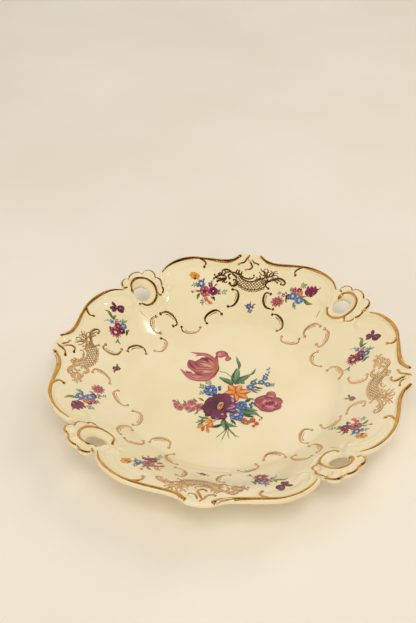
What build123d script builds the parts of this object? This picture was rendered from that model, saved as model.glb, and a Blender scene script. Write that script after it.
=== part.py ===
"""Footed porcelain serving bowl with four pierced shell handles, gilding and enamel flowers.

The bowl stands on its foot ring: Z up, origin in the middle of the plane it stands on.
It repeats four times around Z. The north quarter (+Y) is drawn and then turned.
"""

import os
from math import cos, hypot, radians, sin, tan

from build123d import *

os.makedirs("parts", exist_ok=True)

# Driving dimensions, mm
well_height = 8.0
well_radius = 81.5
well_bend = 22.0
wall_angle = 32.0
wall_end = 125.0
rim_bend = 60.0
rim_angle = 22.5
section_reach = 164.0
porcelain = 4.6

foot_outer = 80.5
foot_inner = 74.0
foot_round = 1.3

bead_height = 0.9
bead_width = 3.2
gilt_width = 1.7
gilt_knob = 1.5
skin = 0.25
fine_width = 1.4
scroll_knob = 1.1

joint_radius = 116.0
hole_centre = (-94.2, 90.0)
hole_top_radius = 8.0
hole_flare = 20.0

above = 70.0
quarters = ("north", "east", "south", "west")
corners = ("north_west", "north_east", "south_east", "south_west")


def turned(points, quarter):
    """The points turned clockwise by whole quarters, seen from above."""
    angle = radians(-90 * quarter)
    return [(x * cos(angle) - y * sin(angle), x * sin(angle) + y * cos(angle)) for x, y in points]


def section_line(rise):
    """The show surface in section, from the axis out to beyond the rim, lifted by rise."""
    level = Line((0, well_height + rise), (well_radius, well_height + rise))
    bend = JernArc(level @ 1, level % 1, well_bend, wall_angle)
    wall_run = (wall_end - (bend @ 1).X) / cos(radians(wall_angle))
    wall = PolarLine(bend @ 1, wall_run, wall_angle)
    ease = JernArc(wall @ 1, wall % 1, rim_bend, rim_angle - wall_angle)
    rim_run = (section_reach - (ease @ 1).X) / cos(radians(rim_angle))
    rim = PolarLine(ease @ 1, rim_run, rim_angle)
    return level @ 0, rim @ 1


def layer(low, high):
    """A dish-shaped sheet between two heights over the show surface."""
    with BuildPart() as sheet:
        with BuildSketch(Plane.XZ):
            with BuildLine():
                low_start, low_end = section_line(low)
                high_start, high_end = section_line(high)
                Line(low_start, high_start)
                Line(low_end, high_end)
            make_face()
        revolve(axis=Axis.Z)
    return sheet.part


def surface_height(x, y):
    """Height of the show surface over a plan point on the rim's straight slope."""
    bend_end = well_radius + well_bend * sin(radians(wall_angle))
    bend_rise = well_bend * (1 - cos(radians(wall_angle)))
    wall_rise = (wall_end - bend_end) * tan(radians(wall_angle))
    ease_run = rim_bend * (sin(radians(wall_angle)) - sin(radians(rim_angle)))
    ease_rise = rim_bend * (cos(radians(rim_angle)) - cos(radians(wall_angle)))
    beyond = hypot(x, y) - wall_end - ease_run
    return well_height + bend_rise + wall_rise + ease_rise + beyond * tan(radians(rim_angle))


def stroke(points, width, knobs=(0, 0)):
    """A brush stroke along a smooth line, with a round knob at either end."""
    with BuildLine():
        path = Spline(*points)
    trace(path, line_width=width)
    for end, radius in zip((path @ 0, path @ 1), knobs):
        with Locations(end):
            Circle(max(radius, width / 2))


def blossom(x, y, radius, petals=5, turn=0):
    """A flower of round petals about a centre."""
    with Locations((x, y)):
        Circle(radius * 0.45)
        with PolarLocations(radius * 0.55, petals, start_angle=turn):
            Circle(radius * 0.42)


def leaf(x, y, length, width, angle):
    """A leaf as a slim ellipse about its middle."""
    with Locations(Location((x, y, 0), (0, 0, angle))):
        Ellipse(length / 2, width / 2)


def hand_out(master, names):
    """Writes a quarter's piece once for each name, turned a quarter at a time."""
    for quarter, name in enumerate(names):
        with BuildPart() as copy:
            add(master.part.rotate(Axis.Z, -90 * quarter))
        copy.part.label = name
        export_step(copy.part, f"parts/{name}.step")


# Plan lines of the north quarter and of the north-west handle

gilt_west = [(-10.6, 147.3), (-16, 143.1), (-25, 140.2), (-42, 139.0), (-56, 137.3),
             (-68, 131.4), (-76.5, 122.8), (-80.9, 113.8)]
gilt_east = [(10.6, 147.6), (16.5, 142.6), (26, 139.8), (43, 138.3), (57, 135.6),
             (70, 129.0), (79.5, 120.0), (84.0, 109.5)]
hook_west = [(-50, 138.3), (-45, 137.0), (-41.6, 134.2), (-42.6, 130.2)]
hook_east = [(52, 136.6), (47.5, 135.2), (44.0, 132.0), (44.6, 128.8)]

edge_west = [(-81.8, 109.0), (-82.8, 114.5), (-77.8, 124.5), (-67.5, 134.6), (-55, 139.8),
             (-40, 141.2), (-25, 142.2), (-15.5, 145.4), (-9.5, 150.2)]
edge_east = [(9.5, 150.4), (16, 145.5), (26, 141.9), (42, 140.7), (57, 138.0),
             (70, 131.8), (80.3, 122.0), (86.4, 109.5)]
crown_top = (0, 151.6)

shell_notches = [(-109.5, 86.4), (-110.6, 98.9), (-98.8, 110.0), (-85.8, 109.8), (-81.8, 109.0)]
shell_crests = [(-115.6, 91.6), (-107.4, 107.0), (-92.2, 115.5), (-83.6, 110.1)]

gilt_notches = [(-110.0, 88.0), (-109.4, 98.4), (-98.6, 108.8), (-86.2, 108.6), (-78.9, 101.4), (-77.4, 94.4)]
gilt_crests = [(-114.1, 92.0), (-106.3, 105.9), (-92.3, 114.0), (-80.8, 106.8), (-76.5, 98.2)]
handle_scroll = [(-103.4, 87.2), (-105.3, 92.5), (-102.2, 99.2), (-94.5, 102.5), (-86.0, 99.6),
                 (-81.3, 92.0), (-82.2, 84.0), (-87.0, 77.8), (-94.0, 77.0)]
crown_ticks = [
    [(-1.0, 148.0), (-3.2, 144.0), (-5.6, 140.0), (-9.8, 138.8)],
    [(-0.8, 141.8), (1.8, 138.6), (2.4, 135.6), (-2.6, 133.6)],
    [(2.4, 143.6), (4.2, 140.8), (8.0, 139.9)],
]
wall_scrolls = [
    [(-13.0, 115.2), (-8.0, 113.6), (-7.0, 108.0), (-10.0, 102.0), (-15.3, 99.4)],
    [(23.5, 113.2), (18.5, 113.6), (16.9, 108.0), (19.8, 102.0), (26.8, 99.2)],
    [(-20.2, 92.8), (-26.0, 94.8), (-32.0, 91.0), (-35.2, 85.5), (-33.2, 81.2)],
    [(-55.3, 71.5), (-52.5, 67.6), (-46.0, 66.4), (-39.8, 69.5), (-37.6, 75.6)],
    [(-75.5, 76.4), (-70.0, 80.2), (-63.0, 78.4), (-59.4, 73.4), (-62.0, 69.8)],
    [(-79.0, 72.4), (-81.8, 68.0), (-80.8, 62.2), (-76.8, 58.0), (-72.0, 58.6)],
    [(-70.5, 54.6), (-65.8, 52.6), (-64.2, 46.0), (-67.0, 38.6), (-73.2, 37.6)],
    [(-95.6, 27.0), (-94.4, 31.6), (-89.6, 36.4), (-83.4, 37.4), (-79.6, 33.0)],
]
cartouche_low = [(-11.0, 124.5), (-8.5, 120.0), (-2.0, 116.6), (4.0, 115.4), (11.0, 116.4), (18.5, 121.5)]
cartouche_high = [(18.0, 126.6), (11.0, 124.0), (3.0, 122.8), (-3.5, 124.0), (-8.5, 128.0)]
cartouche_curls = [
    [(-8.0, 127.6), (-3.0, 125.4), (2.2, 125.2), (5.6, 127.6)],
    [(-9.0, 127.6), (-14.0, 129.6), (-20.0, 131.2), (-25.6, 129.2)],
    [(-10.0, 121.6), (-12.0, 118.6), (-15.6, 118.6), (-17.0, 121.0)],
    [(-10.4, 124.4), (-13.6, 127.2), (-18.2, 125.6)],
    [(17.0, 122.6), (22.0, 125.2), (29.0, 125.8), (34.4, 123.0), (33.0, 120.6)],
    [(17.6, 122.0), (18.4, 119.0), (20.6, 117.4)],
]
cartouche_leaves = [
    (-24.5, 125.2, 10, 4, 25), (-28.5, 122.2, 9, 3.4, 5), (-21.5, 120.6, 6, 2.4, -12),
    (-9.5, 130.6, 6, 3.4, 60), (17.0, 129.8, 9, 3.2, 70), (21.0, 131.0, 8, 3.2, 40), (13.0, 133.2, 5, 2.0, 0),
]

# Flowers are (x, y, radius) and leaves (x, y, length, width, angle) about a print's own middle

posy = (
    [(-12, 12, 5.0), (-5, 5.4, 3.8), (0, 0, 5.2), (7, 2.2, 4.6), (3.4, -7.6, 2.8)],
    [(12, 2.5, 8, 2.6, 5), (-8, -2, 10, 2.4, 30), (-2, -6, 8, 2.6, 70), (1, 7, 8, 2.4, 60)],
)
garland = (
    [(-17, -2, 5.6), (-10, 2, 2.4), (-2.5, 1, 4.4), (4.4, -3.4, 4.4), (1.0, 5, 3.8), (14.6, 3.2, 5.6)],
    [(9.5, -5.5, 10, 2.2, -35), (-6, -1.5, 8, 2.4, 20), (0.5, -6.5, 7, 2.2, 70)],
)
nosegay = (
    [(16, 4, 6.0), (-8, -0.6, 5.4), (-1.4, -3.6, 4.6), (1.6, 3.6, 3.2), (3.2, -5.6, 3.0)],
    [(6.5, 4.5, 10, 2.6, 40), (-13.5, -4.6, 7, 2.2, 15), (-2, -8.6, 8, 2.6, 5)],
)
sprig = ([(0, 0, 3.6), (3.0, -1.8, 2.4)], [(-3.5, 1.5, 5, 1.8, 20)])
bouquet = (
    [(-27, 25, 15), (-12, 40, 6), (-14, -5, 6), (7, -4, 9), (-4, -22, 14), (15, -19, 5.5),
     (9.5, -31, 6.5), (34, -13, 11.5), (19, 4, 4.2), (28, 11, 4.5), (-27, -25, 5), (-38, -28, 4),
     (-12, -44, 6), (22, -36, 5)],
    [(2.5, 24, 34, 5, 100), (13, 15, 26, 5, 50), (-5, 8, 16, 6, -45), (24, -25, 12, 5, -10),
     (3, -44, 16, 5, 75), (-20, -24, 20, 3, 8)],
)


def printed(name, flowers_and_leaves, quarter, x, y, turn):
    """An enamel print with its name, set over a plan point of a quarter."""
    return name, flowers_and_leaves, turned([(x, y)], quarter)[0], turn - 90 * quarter


enamels = [
    printed("centre_bouquet", bouquet, 0, 0, 0, 0),
    printed("flower_spray_north_left", posy, 0, -38, 109, 0),
    printed("flower_spray_north_right", garland, 0, 47, 109, 0),
    printed("flower_spray_east_left", nosegay, 1, -41.5, 108.5, 131),
    printed("flower_spray_east_right", posy, 1, 46.5, 106, -119),
    printed("flower_spray_south_left", nosegay, 2, -44, 111, 131),
    printed("flower_spray_south_right", posy, 2, 46.5, 106, -116),
    printed("flower_spray_west_left", garland, 3, -47.3, 110.4, 155),
    printed("flower_spray_west_right", nosegay, 3, 47, 109, 0),
    printed("flower_sprig_north", sprig, 0, 5, 101, 0),
    printed("flower_sprig_east", sprig, 1, 8, 103, 40),
    printed("flower_sprig_south", sprig, 2, 5, 105, -30),
    printed("flower_sprig_west", sprig, 3, 3, 99.5, 20),
]

joint_angle = radians(45)
joint_half_angle = radians(7.9)
inner_west, inner_middle, inner_east = [
    (-joint_radius * cos(joint_angle + swing), joint_radius * sin(joint_angle + swing))
    for swing in (joint_half_angle, 0, -joint_half_angle)
]


# Porcelain: the dish, its foot and the four handles

clay = layer(-porcelain, 0)
bead_layer = layer(0, bead_height)
bead_skin = layer(bead_height, bead_height + skin)
glaze_skin = layer(0, skin)

with BuildPart() as rim_bead:
    with BuildSketch(Plane.XY):
        for quarter in range(4):
            for line in (gilt_west, gilt_east, hook_west, hook_east):
                stroke(turned(line, quarter), bead_width)
    extrude(amount=above)
    add(bead_layer, mode=Mode.INTERSECT)

with BuildPart() as dish_body:
    with BuildSketch(Plane.XY):
        with BuildLine():
            for quarter in range(4):
                west = turned(edge_west, quarter)
                east = turned(edge_east, quarter)
                crown = turned([crown_top], quarter)[0]
                Spline(*west)
                Spline(*east)
                ThreePointArc(west[-1], crown, east[0])
                joint = turned([inner_west, inner_middle, inner_east], quarter)
                Line(west[0], joint[0])
                ThreePointArc(*joint)
                Line(joint[2], turned(edge_east, quarter - 1)[-1])
        make_face()
    extrude(amount=above)
    add(clay, mode=Mode.INTERSECT)
    add(rim_bead.part)
dish_body.part.label = "dish_body"
export_step(dish_body.part, "parts/dish_body.step")

with BuildPart() as foot_ring:
    with BuildSketch(Plane.XY):
        Circle(foot_outer)
        Circle(foot_inner, mode=Mode.SUBTRACT)
    extrude(amount=well_height - porcelain)
    fillet(foot_ring.faces().sort_by(Axis.Z)[0].edges(), foot_round)
foot_ring.part.label = "foot_ring"
export_step(foot_ring.part, "parts/foot_ring.step")

hole_height = surface_height(*hole_centre)
hole_spread = hypot(*hole_centre)
hole_out = [c / hole_spread for c in hole_centre]
hole_lean = sin(radians(rim_angle))
hole_plane = Plane(
    origin=(*hole_centre, hole_height),
    z_dir=(-hole_lean * hole_out[0], -hole_lean * hole_out[1], cos(radians(rim_angle))),
)

with BuildPart() as handle:
    with BuildSketch(Plane.XY):
        with BuildLine():
            for start, crest, end in zip(shell_notches, shell_crests, shell_notches[1:]):
                ThreePointArc(start, crest, end)
            Line(shell_notches[-1], inner_west)
            ThreePointArc(inner_west, inner_middle, inner_east)
            Line(inner_east, shell_notches[0])
        make_face()
    extrude(amount=above)
    add(clay, mode=Mode.INTERSECT)
    with BuildSketch(hole_plane.offset(1)):
        Circle(hole_top_radius + tan(radians(hole_flare)))
    extrude(amount=-porcelain - 2, taper=hole_flare, mode=Mode.SUBTRACT)
hand_out(handle, [f"handle_{corner}" for corner in corners])


# Gilding: skins of fired gold on the beads, the handles and the wall

with BuildPart() as rim_gilding_west:
    with BuildSketch(Plane.XY):
        stroke(gilt_west, gilt_width, knobs=(gilt_knob, 0))
        stroke(hook_west, gilt_width)
    extrude(amount=above)
    add(bead_skin, mode=Mode.INTERSECT)
hand_out(rim_gilding_west, [f"rim_gilding_{quarter}_left" for quarter in quarters])

with BuildPart() as rim_gilding_east:
    with BuildSketch(Plane.XY):
        stroke(gilt_east, gilt_width, knobs=(gilt_knob, 0))
        stroke(hook_east, gilt_width)
    extrude(amount=above)
    add(bead_skin, mode=Mode.INTERSECT)
hand_out(rim_gilding_east, [f"rim_gilding_{quarter}_right" for quarter in quarters])

with BuildPart() as handle_scroll_gilding:
    with BuildSketch(Plane.XY):
        stroke(handle_scroll, gilt_width, knobs=(1.3, 1.2))
    extrude(amount=above)
    add(glaze_skin, mode=Mode.INTERSECT)
hand_out(handle_scroll_gilding, [f"handle_scroll_gilding_{corner}" for corner in corners])

with BuildPart() as handle_edge_gilding:
    with BuildSketch(Plane.XY):
        for start, crest, end in zip(gilt_notches, gilt_crests, gilt_notches[1:]):
            with BuildLine():
                scallop = ThreePointArc(start, crest, end)
            trace(scallop, line_width=fine_width)
            with Locations(start, end):
                Circle(fine_width / 2)
    extrude(amount=above)
    add(glaze_skin, mode=Mode.INTERSECT)
hand_out(handle_edge_gilding, [f"handle_edge_gilding_{corner}" for corner in corners])

with BuildPart() as crown_gilding:
    with BuildSketch(Plane.XY):
        for tick in crown_ticks:
            stroke(tick, fine_width)
    extrude(amount=above)
    add(glaze_skin, mode=Mode.INTERSECT)
hand_out(crown_gilding, [f"crown_gilding_{quarter}" for quarter in quarters])

with BuildPart() as scroll_gilding:
    with BuildSketch(Plane.XY):
        for scroll in wall_scrolls:
            stroke(scroll, fine_width, knobs=(scroll_knob, scroll_knob))
    extrude(amount=above)
    add(glaze_skin, mode=Mode.INTERSECT)
hand_out(scroll_gilding, [f"scroll_gilding_{quarter}" for quarter in quarters])

with BuildPart() as cartouche_gilding:
    with BuildSketch(Plane.XY):
        with BuildLine():
            fan_low = Spline(*cartouche_low)
            fan_high = Spline(*cartouche_high)
            Line(fan_low @ 1, fan_high @ 0)
            Line(fan_high @ 1, fan_low @ 0)
        make_face()
        for curl in cartouche_curls:
            stroke(curl, fine_width, knobs=(0, scroll_knob))
        for x, y, length, width, angle in cartouche_leaves:
            leaf(x, y, length, width, angle)
    extrude(amount=above)
    add(glaze_skin, mode=Mode.INTERSECT)
hand_out(cartouche_gilding, [f"cartouche_gilding_{quarter}" for quarter in quarters])


# Enamel: flower prints fired on the wall, and the bouquet in the well

for name, (flowers, leaves), (x, y), turn in enamels:
    across = (cos(radians(turn)), sin(radians(turn)), 0)
    with BuildPart() as enamel:
        with BuildSketch(Plane(origin=(x, y, 0), x_dir=across, z_dir=(0, 0, 1))):
            for flower in flowers:
                blossom(*flower)
            for sprout in leaves:
                leaf(*sprout)
        extrude(amount=above)
        add(glaze_skin, mode=Mode.INTERSECT)
    enamel.part.label = name
    export_step(enamel.part, f"parts/{name}.step")
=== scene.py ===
from math import cos, pi, radians, sin, tan, tau

import bmesh
import bpy
import numpy as np
from mathutils import Matrix, Vector
from mathutils.bvhtree import BVHTree


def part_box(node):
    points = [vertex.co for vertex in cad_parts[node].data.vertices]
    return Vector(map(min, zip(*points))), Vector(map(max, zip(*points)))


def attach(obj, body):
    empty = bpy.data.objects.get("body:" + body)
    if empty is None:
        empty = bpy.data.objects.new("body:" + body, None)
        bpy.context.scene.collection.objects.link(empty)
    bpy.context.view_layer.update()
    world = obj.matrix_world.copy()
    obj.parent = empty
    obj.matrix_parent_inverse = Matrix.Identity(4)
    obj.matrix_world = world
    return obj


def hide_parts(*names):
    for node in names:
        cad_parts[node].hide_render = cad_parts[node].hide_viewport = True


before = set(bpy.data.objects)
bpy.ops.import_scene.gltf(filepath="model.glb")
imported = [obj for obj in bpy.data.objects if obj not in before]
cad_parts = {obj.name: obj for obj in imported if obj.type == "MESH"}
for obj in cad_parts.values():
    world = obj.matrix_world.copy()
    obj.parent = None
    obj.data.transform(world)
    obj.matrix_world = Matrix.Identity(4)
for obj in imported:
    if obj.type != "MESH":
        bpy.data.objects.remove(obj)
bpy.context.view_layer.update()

# the dish is drawn in millimetres on a 151.5 mm reach and sized from the frame
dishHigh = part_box("dish_body")[1]
mm = dishHigh[0] / 151.5
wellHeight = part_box("centre_bouquet")[0][2] / mm


def turned(points, quarter):  # whole quarters clockwise, seen from above
    angle = -quarter * pi / 2
    spin = np.array([[cos(angle), -sin(angle)], [sin(angle), cos(angle)]])
    return np.asarray(points, float) @ spin.T


def smoothLine(points, step):  # a flowing line through the points, evenly stepped
    p = np.asarray(points, float)
    p = np.vstack([2 * p[0] - p[1], p, 2 * p[-1] - p[-2]])
    out = []
    for a, b, c, d in zip(p[:-3], p[1:-2], p[2:-1], p[3:]):
        t = np.linspace(0, 1, 24, endpoint=False)[:, None]
        out.append(0.5 * (2 * b + (c - a) * t + (2 * a - 5 * b + 4 * c - d) * t**2
                          + (3 * b - a - 3 * c + d) * t**3))
    return evenSteps(np.vstack(out + [p[-2:-1]]), step)


def evenSteps(line, step):
    run = np.r_[0, np.cumsum(np.hypot(*np.diff(line, axis=0).T))]
    count = max(2, int(round(run[-1] / step)) + 1)
    at = np.linspace(0, run[-1], count)
    return np.column_stack([np.interp(at, run, line[:, 0]), np.interp(at, run, line[:, 1])])


def arcThrough(start, crest, end, step):
    (ax, ay), (bx, by), (cx, cy) = start, crest, end
    d = 2 * (ax * (by - cy) + bx * (cy - ay) + cx * (ay - by))
    a2, b2, c2 = ax * ax + ay * ay, bx * bx + by * by, cx * cx + cy * cy
    ux = (a2 * (by - cy) + b2 * (cy - ay) + c2 * (ay - by)) / d
    uy = (a2 * (cx - bx) + b2 * (ax - cx) + c2 * (bx - ax)) / d
    first = np.arctan2(ay - uy, ax - ux)
    middle = (np.arctan2(by - uy, bx - ux) - first) % tau
    last = (np.arctan2(cy - uy, cx - ux) - first) % tau
    if middle > last:
        last -= tau
    angles = first + np.linspace(0, last, 40)
    radius = np.hypot(ax - ux, ay - uy)
    return evenSteps(np.column_stack([ux + radius * np.cos(angles), uy + radius * np.sin(angles)]), step)


def joined(*lines):
    return np.vstack([lines[0]] + [line[1:] for line in lines[1:]])


def linear(hexColour):
    parts = [int(hexColour[k:k + 2], 16) / 255 for k in (1, 3, 5)]
    return tuple(c / 12.92 if c <= 0.04045 else ((c + 0.055) / 1.055) ** 2.4 for c in parts) + (1.0,)


def node(tree, kind, settings=None, **links):  # one node with its settings and what feeds it
    made = tree.nodes.new(kind)
    for name, value in (settings or {}).items():
        if hasattr(made, name):
            setattr(made, name, value)
        else:
            made.inputs[name].default_value = value
    for name, source in links.items():
        socket = made.inputs[int(name[1:])] if name[1:].isdigit() else made.inputs[name.replace("_", " ")]
        tree.links.new(source, socket)
    return made


def newMaterial(name, **shader):
    material = bpy.data.materials.new(name)
    material.use_nodes = True
    surface = material.node_tree.nodes["Principled BSDF"]
    for key, value in shader.items():
        surface.inputs[key.replace("_", " ")].default_value = value
    return material, material.node_tree, surface


def rampOf(tree, fac, stops):
    ramp = node(tree, "ShaderNodeValToRGB", Fac=fac)
    while len(ramp.color_ramp.elements) < len(stops):
        ramp.color_ramp.elements.new(0.5)
    for element, (position, hexColour) in zip(ramp.color_ramp.elements, stops):
        element.position = position
        element.color = linear(hexColour)
    return ramp.outputs["Color"]


def mixedColour(tree, share, first, second):  # each side is a hex colour or what another node gives
    mix = node(tree, "ShaderNodeMix", {"data_type": "RGBA"}, _0=share)
    for socket, colour in ((mix.inputs[6], first), (mix.inputs[7], second)):
        if isinstance(colour, str):
            socket.default_value = linear(colour)
        else:
            tree.links.new(colour, socket)
    return mix.outputs[2]


def bumped(tree, surface, height, strength, depth):  # depth in millimetres
    bump = node(tree, "ShaderNodeBump", {"Strength": strength, "Distance": depth / 1000}, Height=height)
    tree.links.new(bump.outputs["Normal"], surface.inputs["Normal"])


# glazed ivory porcelain: a thick glassy glaze over a warm cast body, faintly cloudy and barely rippled
glaze = dict(tones=[(0.3, "#EEDFB4"), (0.5, "#F1E4BF"), (0.72, "#F4E8C8")], cloudSize=45.0,
             rippleSize=9.0, rippleStrength=0.06, rippleDepth=0.4, roughness=0.09, ior=1.5)
ivoryGlaze, tree, surface = newMaterial("ivoryGlaze", Roughness=glaze["roughness"], IOR=glaze["ior"])
where = node(tree, "ShaderNodeTexCoord").outputs["Object"]
cloud = node(tree, "ShaderNodeTexNoise", {"Scale": 1000 / glaze["cloudSize"], "Detail": 3.0}, Vector=where)
tree.links.new(rampOf(tree, cloud.outputs["Fac"], glaze["tones"]), surface.inputs["Base Color"])
ripple = node(tree, "ShaderNodeTexNoise", {"Scale": 1000 / glaze["rippleSize"], "Detail": 2.0},
              Vector=where)
bumped(tree, surface, ripple.outputs["Fac"], glaze["rippleStrength"], glaze["rippleDepth"])

# the foot ring: the same glaze, wiped off its standing edge, where the dry biscuit shows matt and grainy
biscuit = dict(dry="#E6DCC6", glazed="#EFE2BE", wipedTo=0.6, wipeFrom=0.42, grain=0.35, grainStrength=0.15,
               grainDepth=0.1, dryGloss=0.75, glazedGloss=0.12, ior=1.5)
wipedFoot, tree, surface = newMaterial("glazedFootWipedDry", IOR=biscuit["ior"])
where = node(tree, "ShaderNodeTexCoord").outputs["Object"]
height = node(tree, "ShaderNodeSeparateXYZ", Vector=where).outputs["Z"]
grain = node(tree, "ShaderNodeTexNoise", {"Scale": 1000 / biscuit["grain"], "Detail": 4.0}, Vector=where)
edge = node(tree, "ShaderNodeMapRange",
            {"From Min": biscuit["wipeFrom"] * mm, "From Max": biscuit["wipedTo"] * mm}, Value=height)
tint = mixedColour(tree, edge.outputs["Result"], biscuit["dry"], biscuit["glazed"])
tree.links.new(tint, surface.inputs["Base Color"])
gloss = node(tree, "ShaderNodeMapRange", {"To Min": biscuit["dryGloss"], "To Max": biscuit["glazedGloss"]},
             Value=edge.outputs["Result"])
tree.links.new(gloss.outputs["Result"], surface.inputs["Roughness"])
bumped(tree, surface, grain.outputs["Fac"], biscuit["grainStrength"], biscuit["grainDepth"])

# fired gold: a thin metal film that mirrors the room, with brushed-on thin places
gilt = dict(patchSize=6.0, brushSize=0.6, brushStrength=0.12, brushDepth=0.08,
            line=[(0.25, "#BC8438"), (0.5, "#CF994A"), (0.8, "#DFB26A")], lineGloss=(0.16, 0.3),
            print=[(0.25, "#CC9C6A"), (0.5, "#DAAE7C"), (0.8, "#E6C296")], printGloss=(0.16, 0.28))


def goldFinish(name, tones, glossRange):
    material, tree, surface = newMaterial(name, Metallic=1.0)
    where = node(tree, "ShaderNodeTexCoord").outputs["Object"]
    patch = node(tree, "ShaderNodeTexNoise", {"Scale": 1000 / gilt["patchSize"], "Detail": 4.0},
                 Vector=where)
    tree.links.new(rampOf(tree, patch.outputs["Fac"], tones), surface.inputs["Base Color"])
    gloss = node(tree, "ShaderNodeMapRange", {"To Min": glossRange[0], "To Max": glossRange[1]},
                 Value=patch.outputs["Fac"])
    tree.links.new(gloss.outputs["Result"], surface.inputs["Roughness"])
    brushed = node(tree, "ShaderNodeTexNoise", {"Scale": 1000 / gilt["brushSize"], "Detail": 3.0},
                   Vector=where)
    bumped(tree, surface, brushed.outputs["Fac"], gilt["brushStrength"], gilt["brushDepth"])
    return material


# yellow, for the painted lines
burnishedGold = goldFinish("burnishedGold", gilt["line"], gilt["lineGloss"])
# paler, for the prints on the wall
printedGold = goldFinish("printedGold", gilt["print"], gilt["printGloss"])

# fired on-glaze colours: glossy, laid in strokes that thin out in streaks
enamel = dict(roughness=0.26, ior=1.52, streakStretch=0.12, shade=(0.72, 1.3),
              bodyStrength=0.1, bodyDepth=0.05, rimStreak=0.35, bouquetStreak=0.45)


def enamelFinish(name, streakWidth):
    material, tree, surface = newMaterial(name, Roughness=enamel["roughness"], IOR=enamel["ior"])
    paint = node(tree, "ShaderNodeAttribute", {"attribute_name": "paint"}).outputs["Color"]
    strokeUv = node(tree, "ShaderNodeUVMap", {"uv_map": "brush"}).outputs["UV"]
    scale = (enamel["streakStretch"] / streakWidth, 1 / streakWidth, 1)
    stretch = node(tree, "ShaderNodeMapping", {"Scale": scale}, Vector=strokeUv)
    streak = node(tree, "ShaderNodeTexNoise", {"Scale": 1.0, "Detail": 3.0},
                  Vector=stretch.outputs["Vector"])
    low, high = enamel["shade"]
    shade = node(tree, "ShaderNodeMapRange",
                 {"From Min": 0.3, "From Max": 0.7, "To Min": low, "To Max": high},
                 Value=streak.outputs["Fac"])
    colour = node(tree, "ShaderNodeVectorMath", {"operation": "SCALE"}, Vector=paint,
                  Scale=shade.outputs["Result"])
    tree.links.new(colour.outputs["Vector"], surface.inputs["Base Color"])
    bumped(tree, surface, streak.outputs["Fac"], enamel["bodyStrength"], enamel["bodyDepth"])
    return material


finishes = dict(porcelain=ivoryGlaze, foot_porcelain=wipedFoot, gilding=burnishedGold,
                rim_enamel=enamelFinish("rimPrintEnamel", enamel["rimStreak"]),
                bouquet_enamel=enamelFinish("bouquetEnamel", enamel["bouquetStreak"]))
print("finishes mixed")


# the dish's section and its moulded relief, all in millimetres

section = dict(wellRadius=81.5, bend=22.0, wallAngle=32.0, wallEnd=125.0, rimBend=60.0,
               rimAngle=22.5, thickness=4.6)


def bareHeight(x, y):  # flat well, a round bend, the straight wall, an easing bend and the straight rim
    r = np.hypot(x, y)
    wall, rim = radians(section["wallAngle"]), radians(section["rimAngle"])
    bendEnd = section["wellRadius"] + section["bend"] * sin(wall)
    rimStart = section["wallEnd"] + section["rimBend"] * (sin(wall) - sin(rim))
    bendRun = np.clip(r - section["wellRadius"], 0, bendEnd - section["wellRadius"])
    height = wellHeight + section["bend"] - np.sqrt(section["bend"] ** 2 - bendRun**2)
    height += np.clip(r - bendEnd, 0, section["wallEnd"] - bendEnd) * tan(wall)
    easeRun = np.clip(r - section["wallEnd"], 0, rimStart - section["wallEnd"])
    ease = np.sqrt(section["rimBend"] ** 2 - (section["rimBend"] * sin(wall) - easeRun) ** 2)
    height += ease - section["rimBend"] * cos(wall)
    return height + np.clip(r - rimStart, 0, None) * tan(rim)


def nearLine(x, y, line):
    best, along, run = np.full(x.shape, 1e9), np.zeros(x.shape), 0.0
    for (ax, ay), (bx, by) in zip(line[:-1], line[1:]):
        dx, dy = bx - ax, by - ay
        length = np.hypot(dx, dy)
        t = np.clip(((x - ax) * dx + (y - ay) * dy) / length**2, 0, 1)
        away = np.hypot(x - ax - t * dx, y - ay - t * dy)
        nearer = away < best
        best = np.where(nearer, away, best)
        along = np.where(nearer, run + t * length, along)
        run += length
    return best, along / run


def folded(x, y, middle):  # every point brought into the quarter about one bearing
    bearing = np.arctan2(x, y) - radians(middle)
    radius = np.hypot(x, y)
    bearing = (bearing + pi / 4) % (pi / 2) - pi / 4 + radians(middle)
    return radius * np.sin(bearing), radius * np.cos(bearing)


relief = dict(scale=2.0, spread=1.25, squareness=1.3)


# a ridge along a line, or a hollow where height is negative
def ridgeRelief(x, y, line, height, width, fade):
    width = width * relief["spread"]
    close = ((x > line[:, 0].min() - 3 * width) & (x < line[:, 0].max() + 3 * width)
             & (y > line[:, 1].min() - 3 * width) & (y < line[:, 1].max() + 3 * width))
    rise = np.zeros(x.shape)
    if close.any():
        away, along = nearLine(x[close], y[close], line)
        taper = np.clip(along / fade, 0, 1) * np.clip((1 - along) / fade, 0, 1)
        hump = np.exp(-((away / width) ** 2) ** relief["squareness"])
        rise[close] = relief["scale"] * height * hump * taper
    return rise


rimLines = dict(
    giltWest=[(-10.6, 147.3), (-16, 143.1), (-25, 140.2), (-42, 139.0), (-56, 137.3),
              (-68, 131.4), (-76.5, 122.8), (-80.9, 113.8)],
    giltEast=[(10.6, 147.6), (16.5, 142.6), (26, 139.8), (43, 138.3), (57, 135.6),
              (70, 129.0), (79.5, 120.0), (84.0, 109.5)],
    hookWest=[(-50, 138.3), (-45, 137.0), (-41.6, 134.2), (-42.6, 130.2)],
    hookEast=[(52, 136.6), (47.5, 135.2), (44.0, 132.0), (44.6, 128.8)],
)
rimLines = {name: smoothLine(points, 1.0) for name, points in rimLines.items()}

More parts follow.
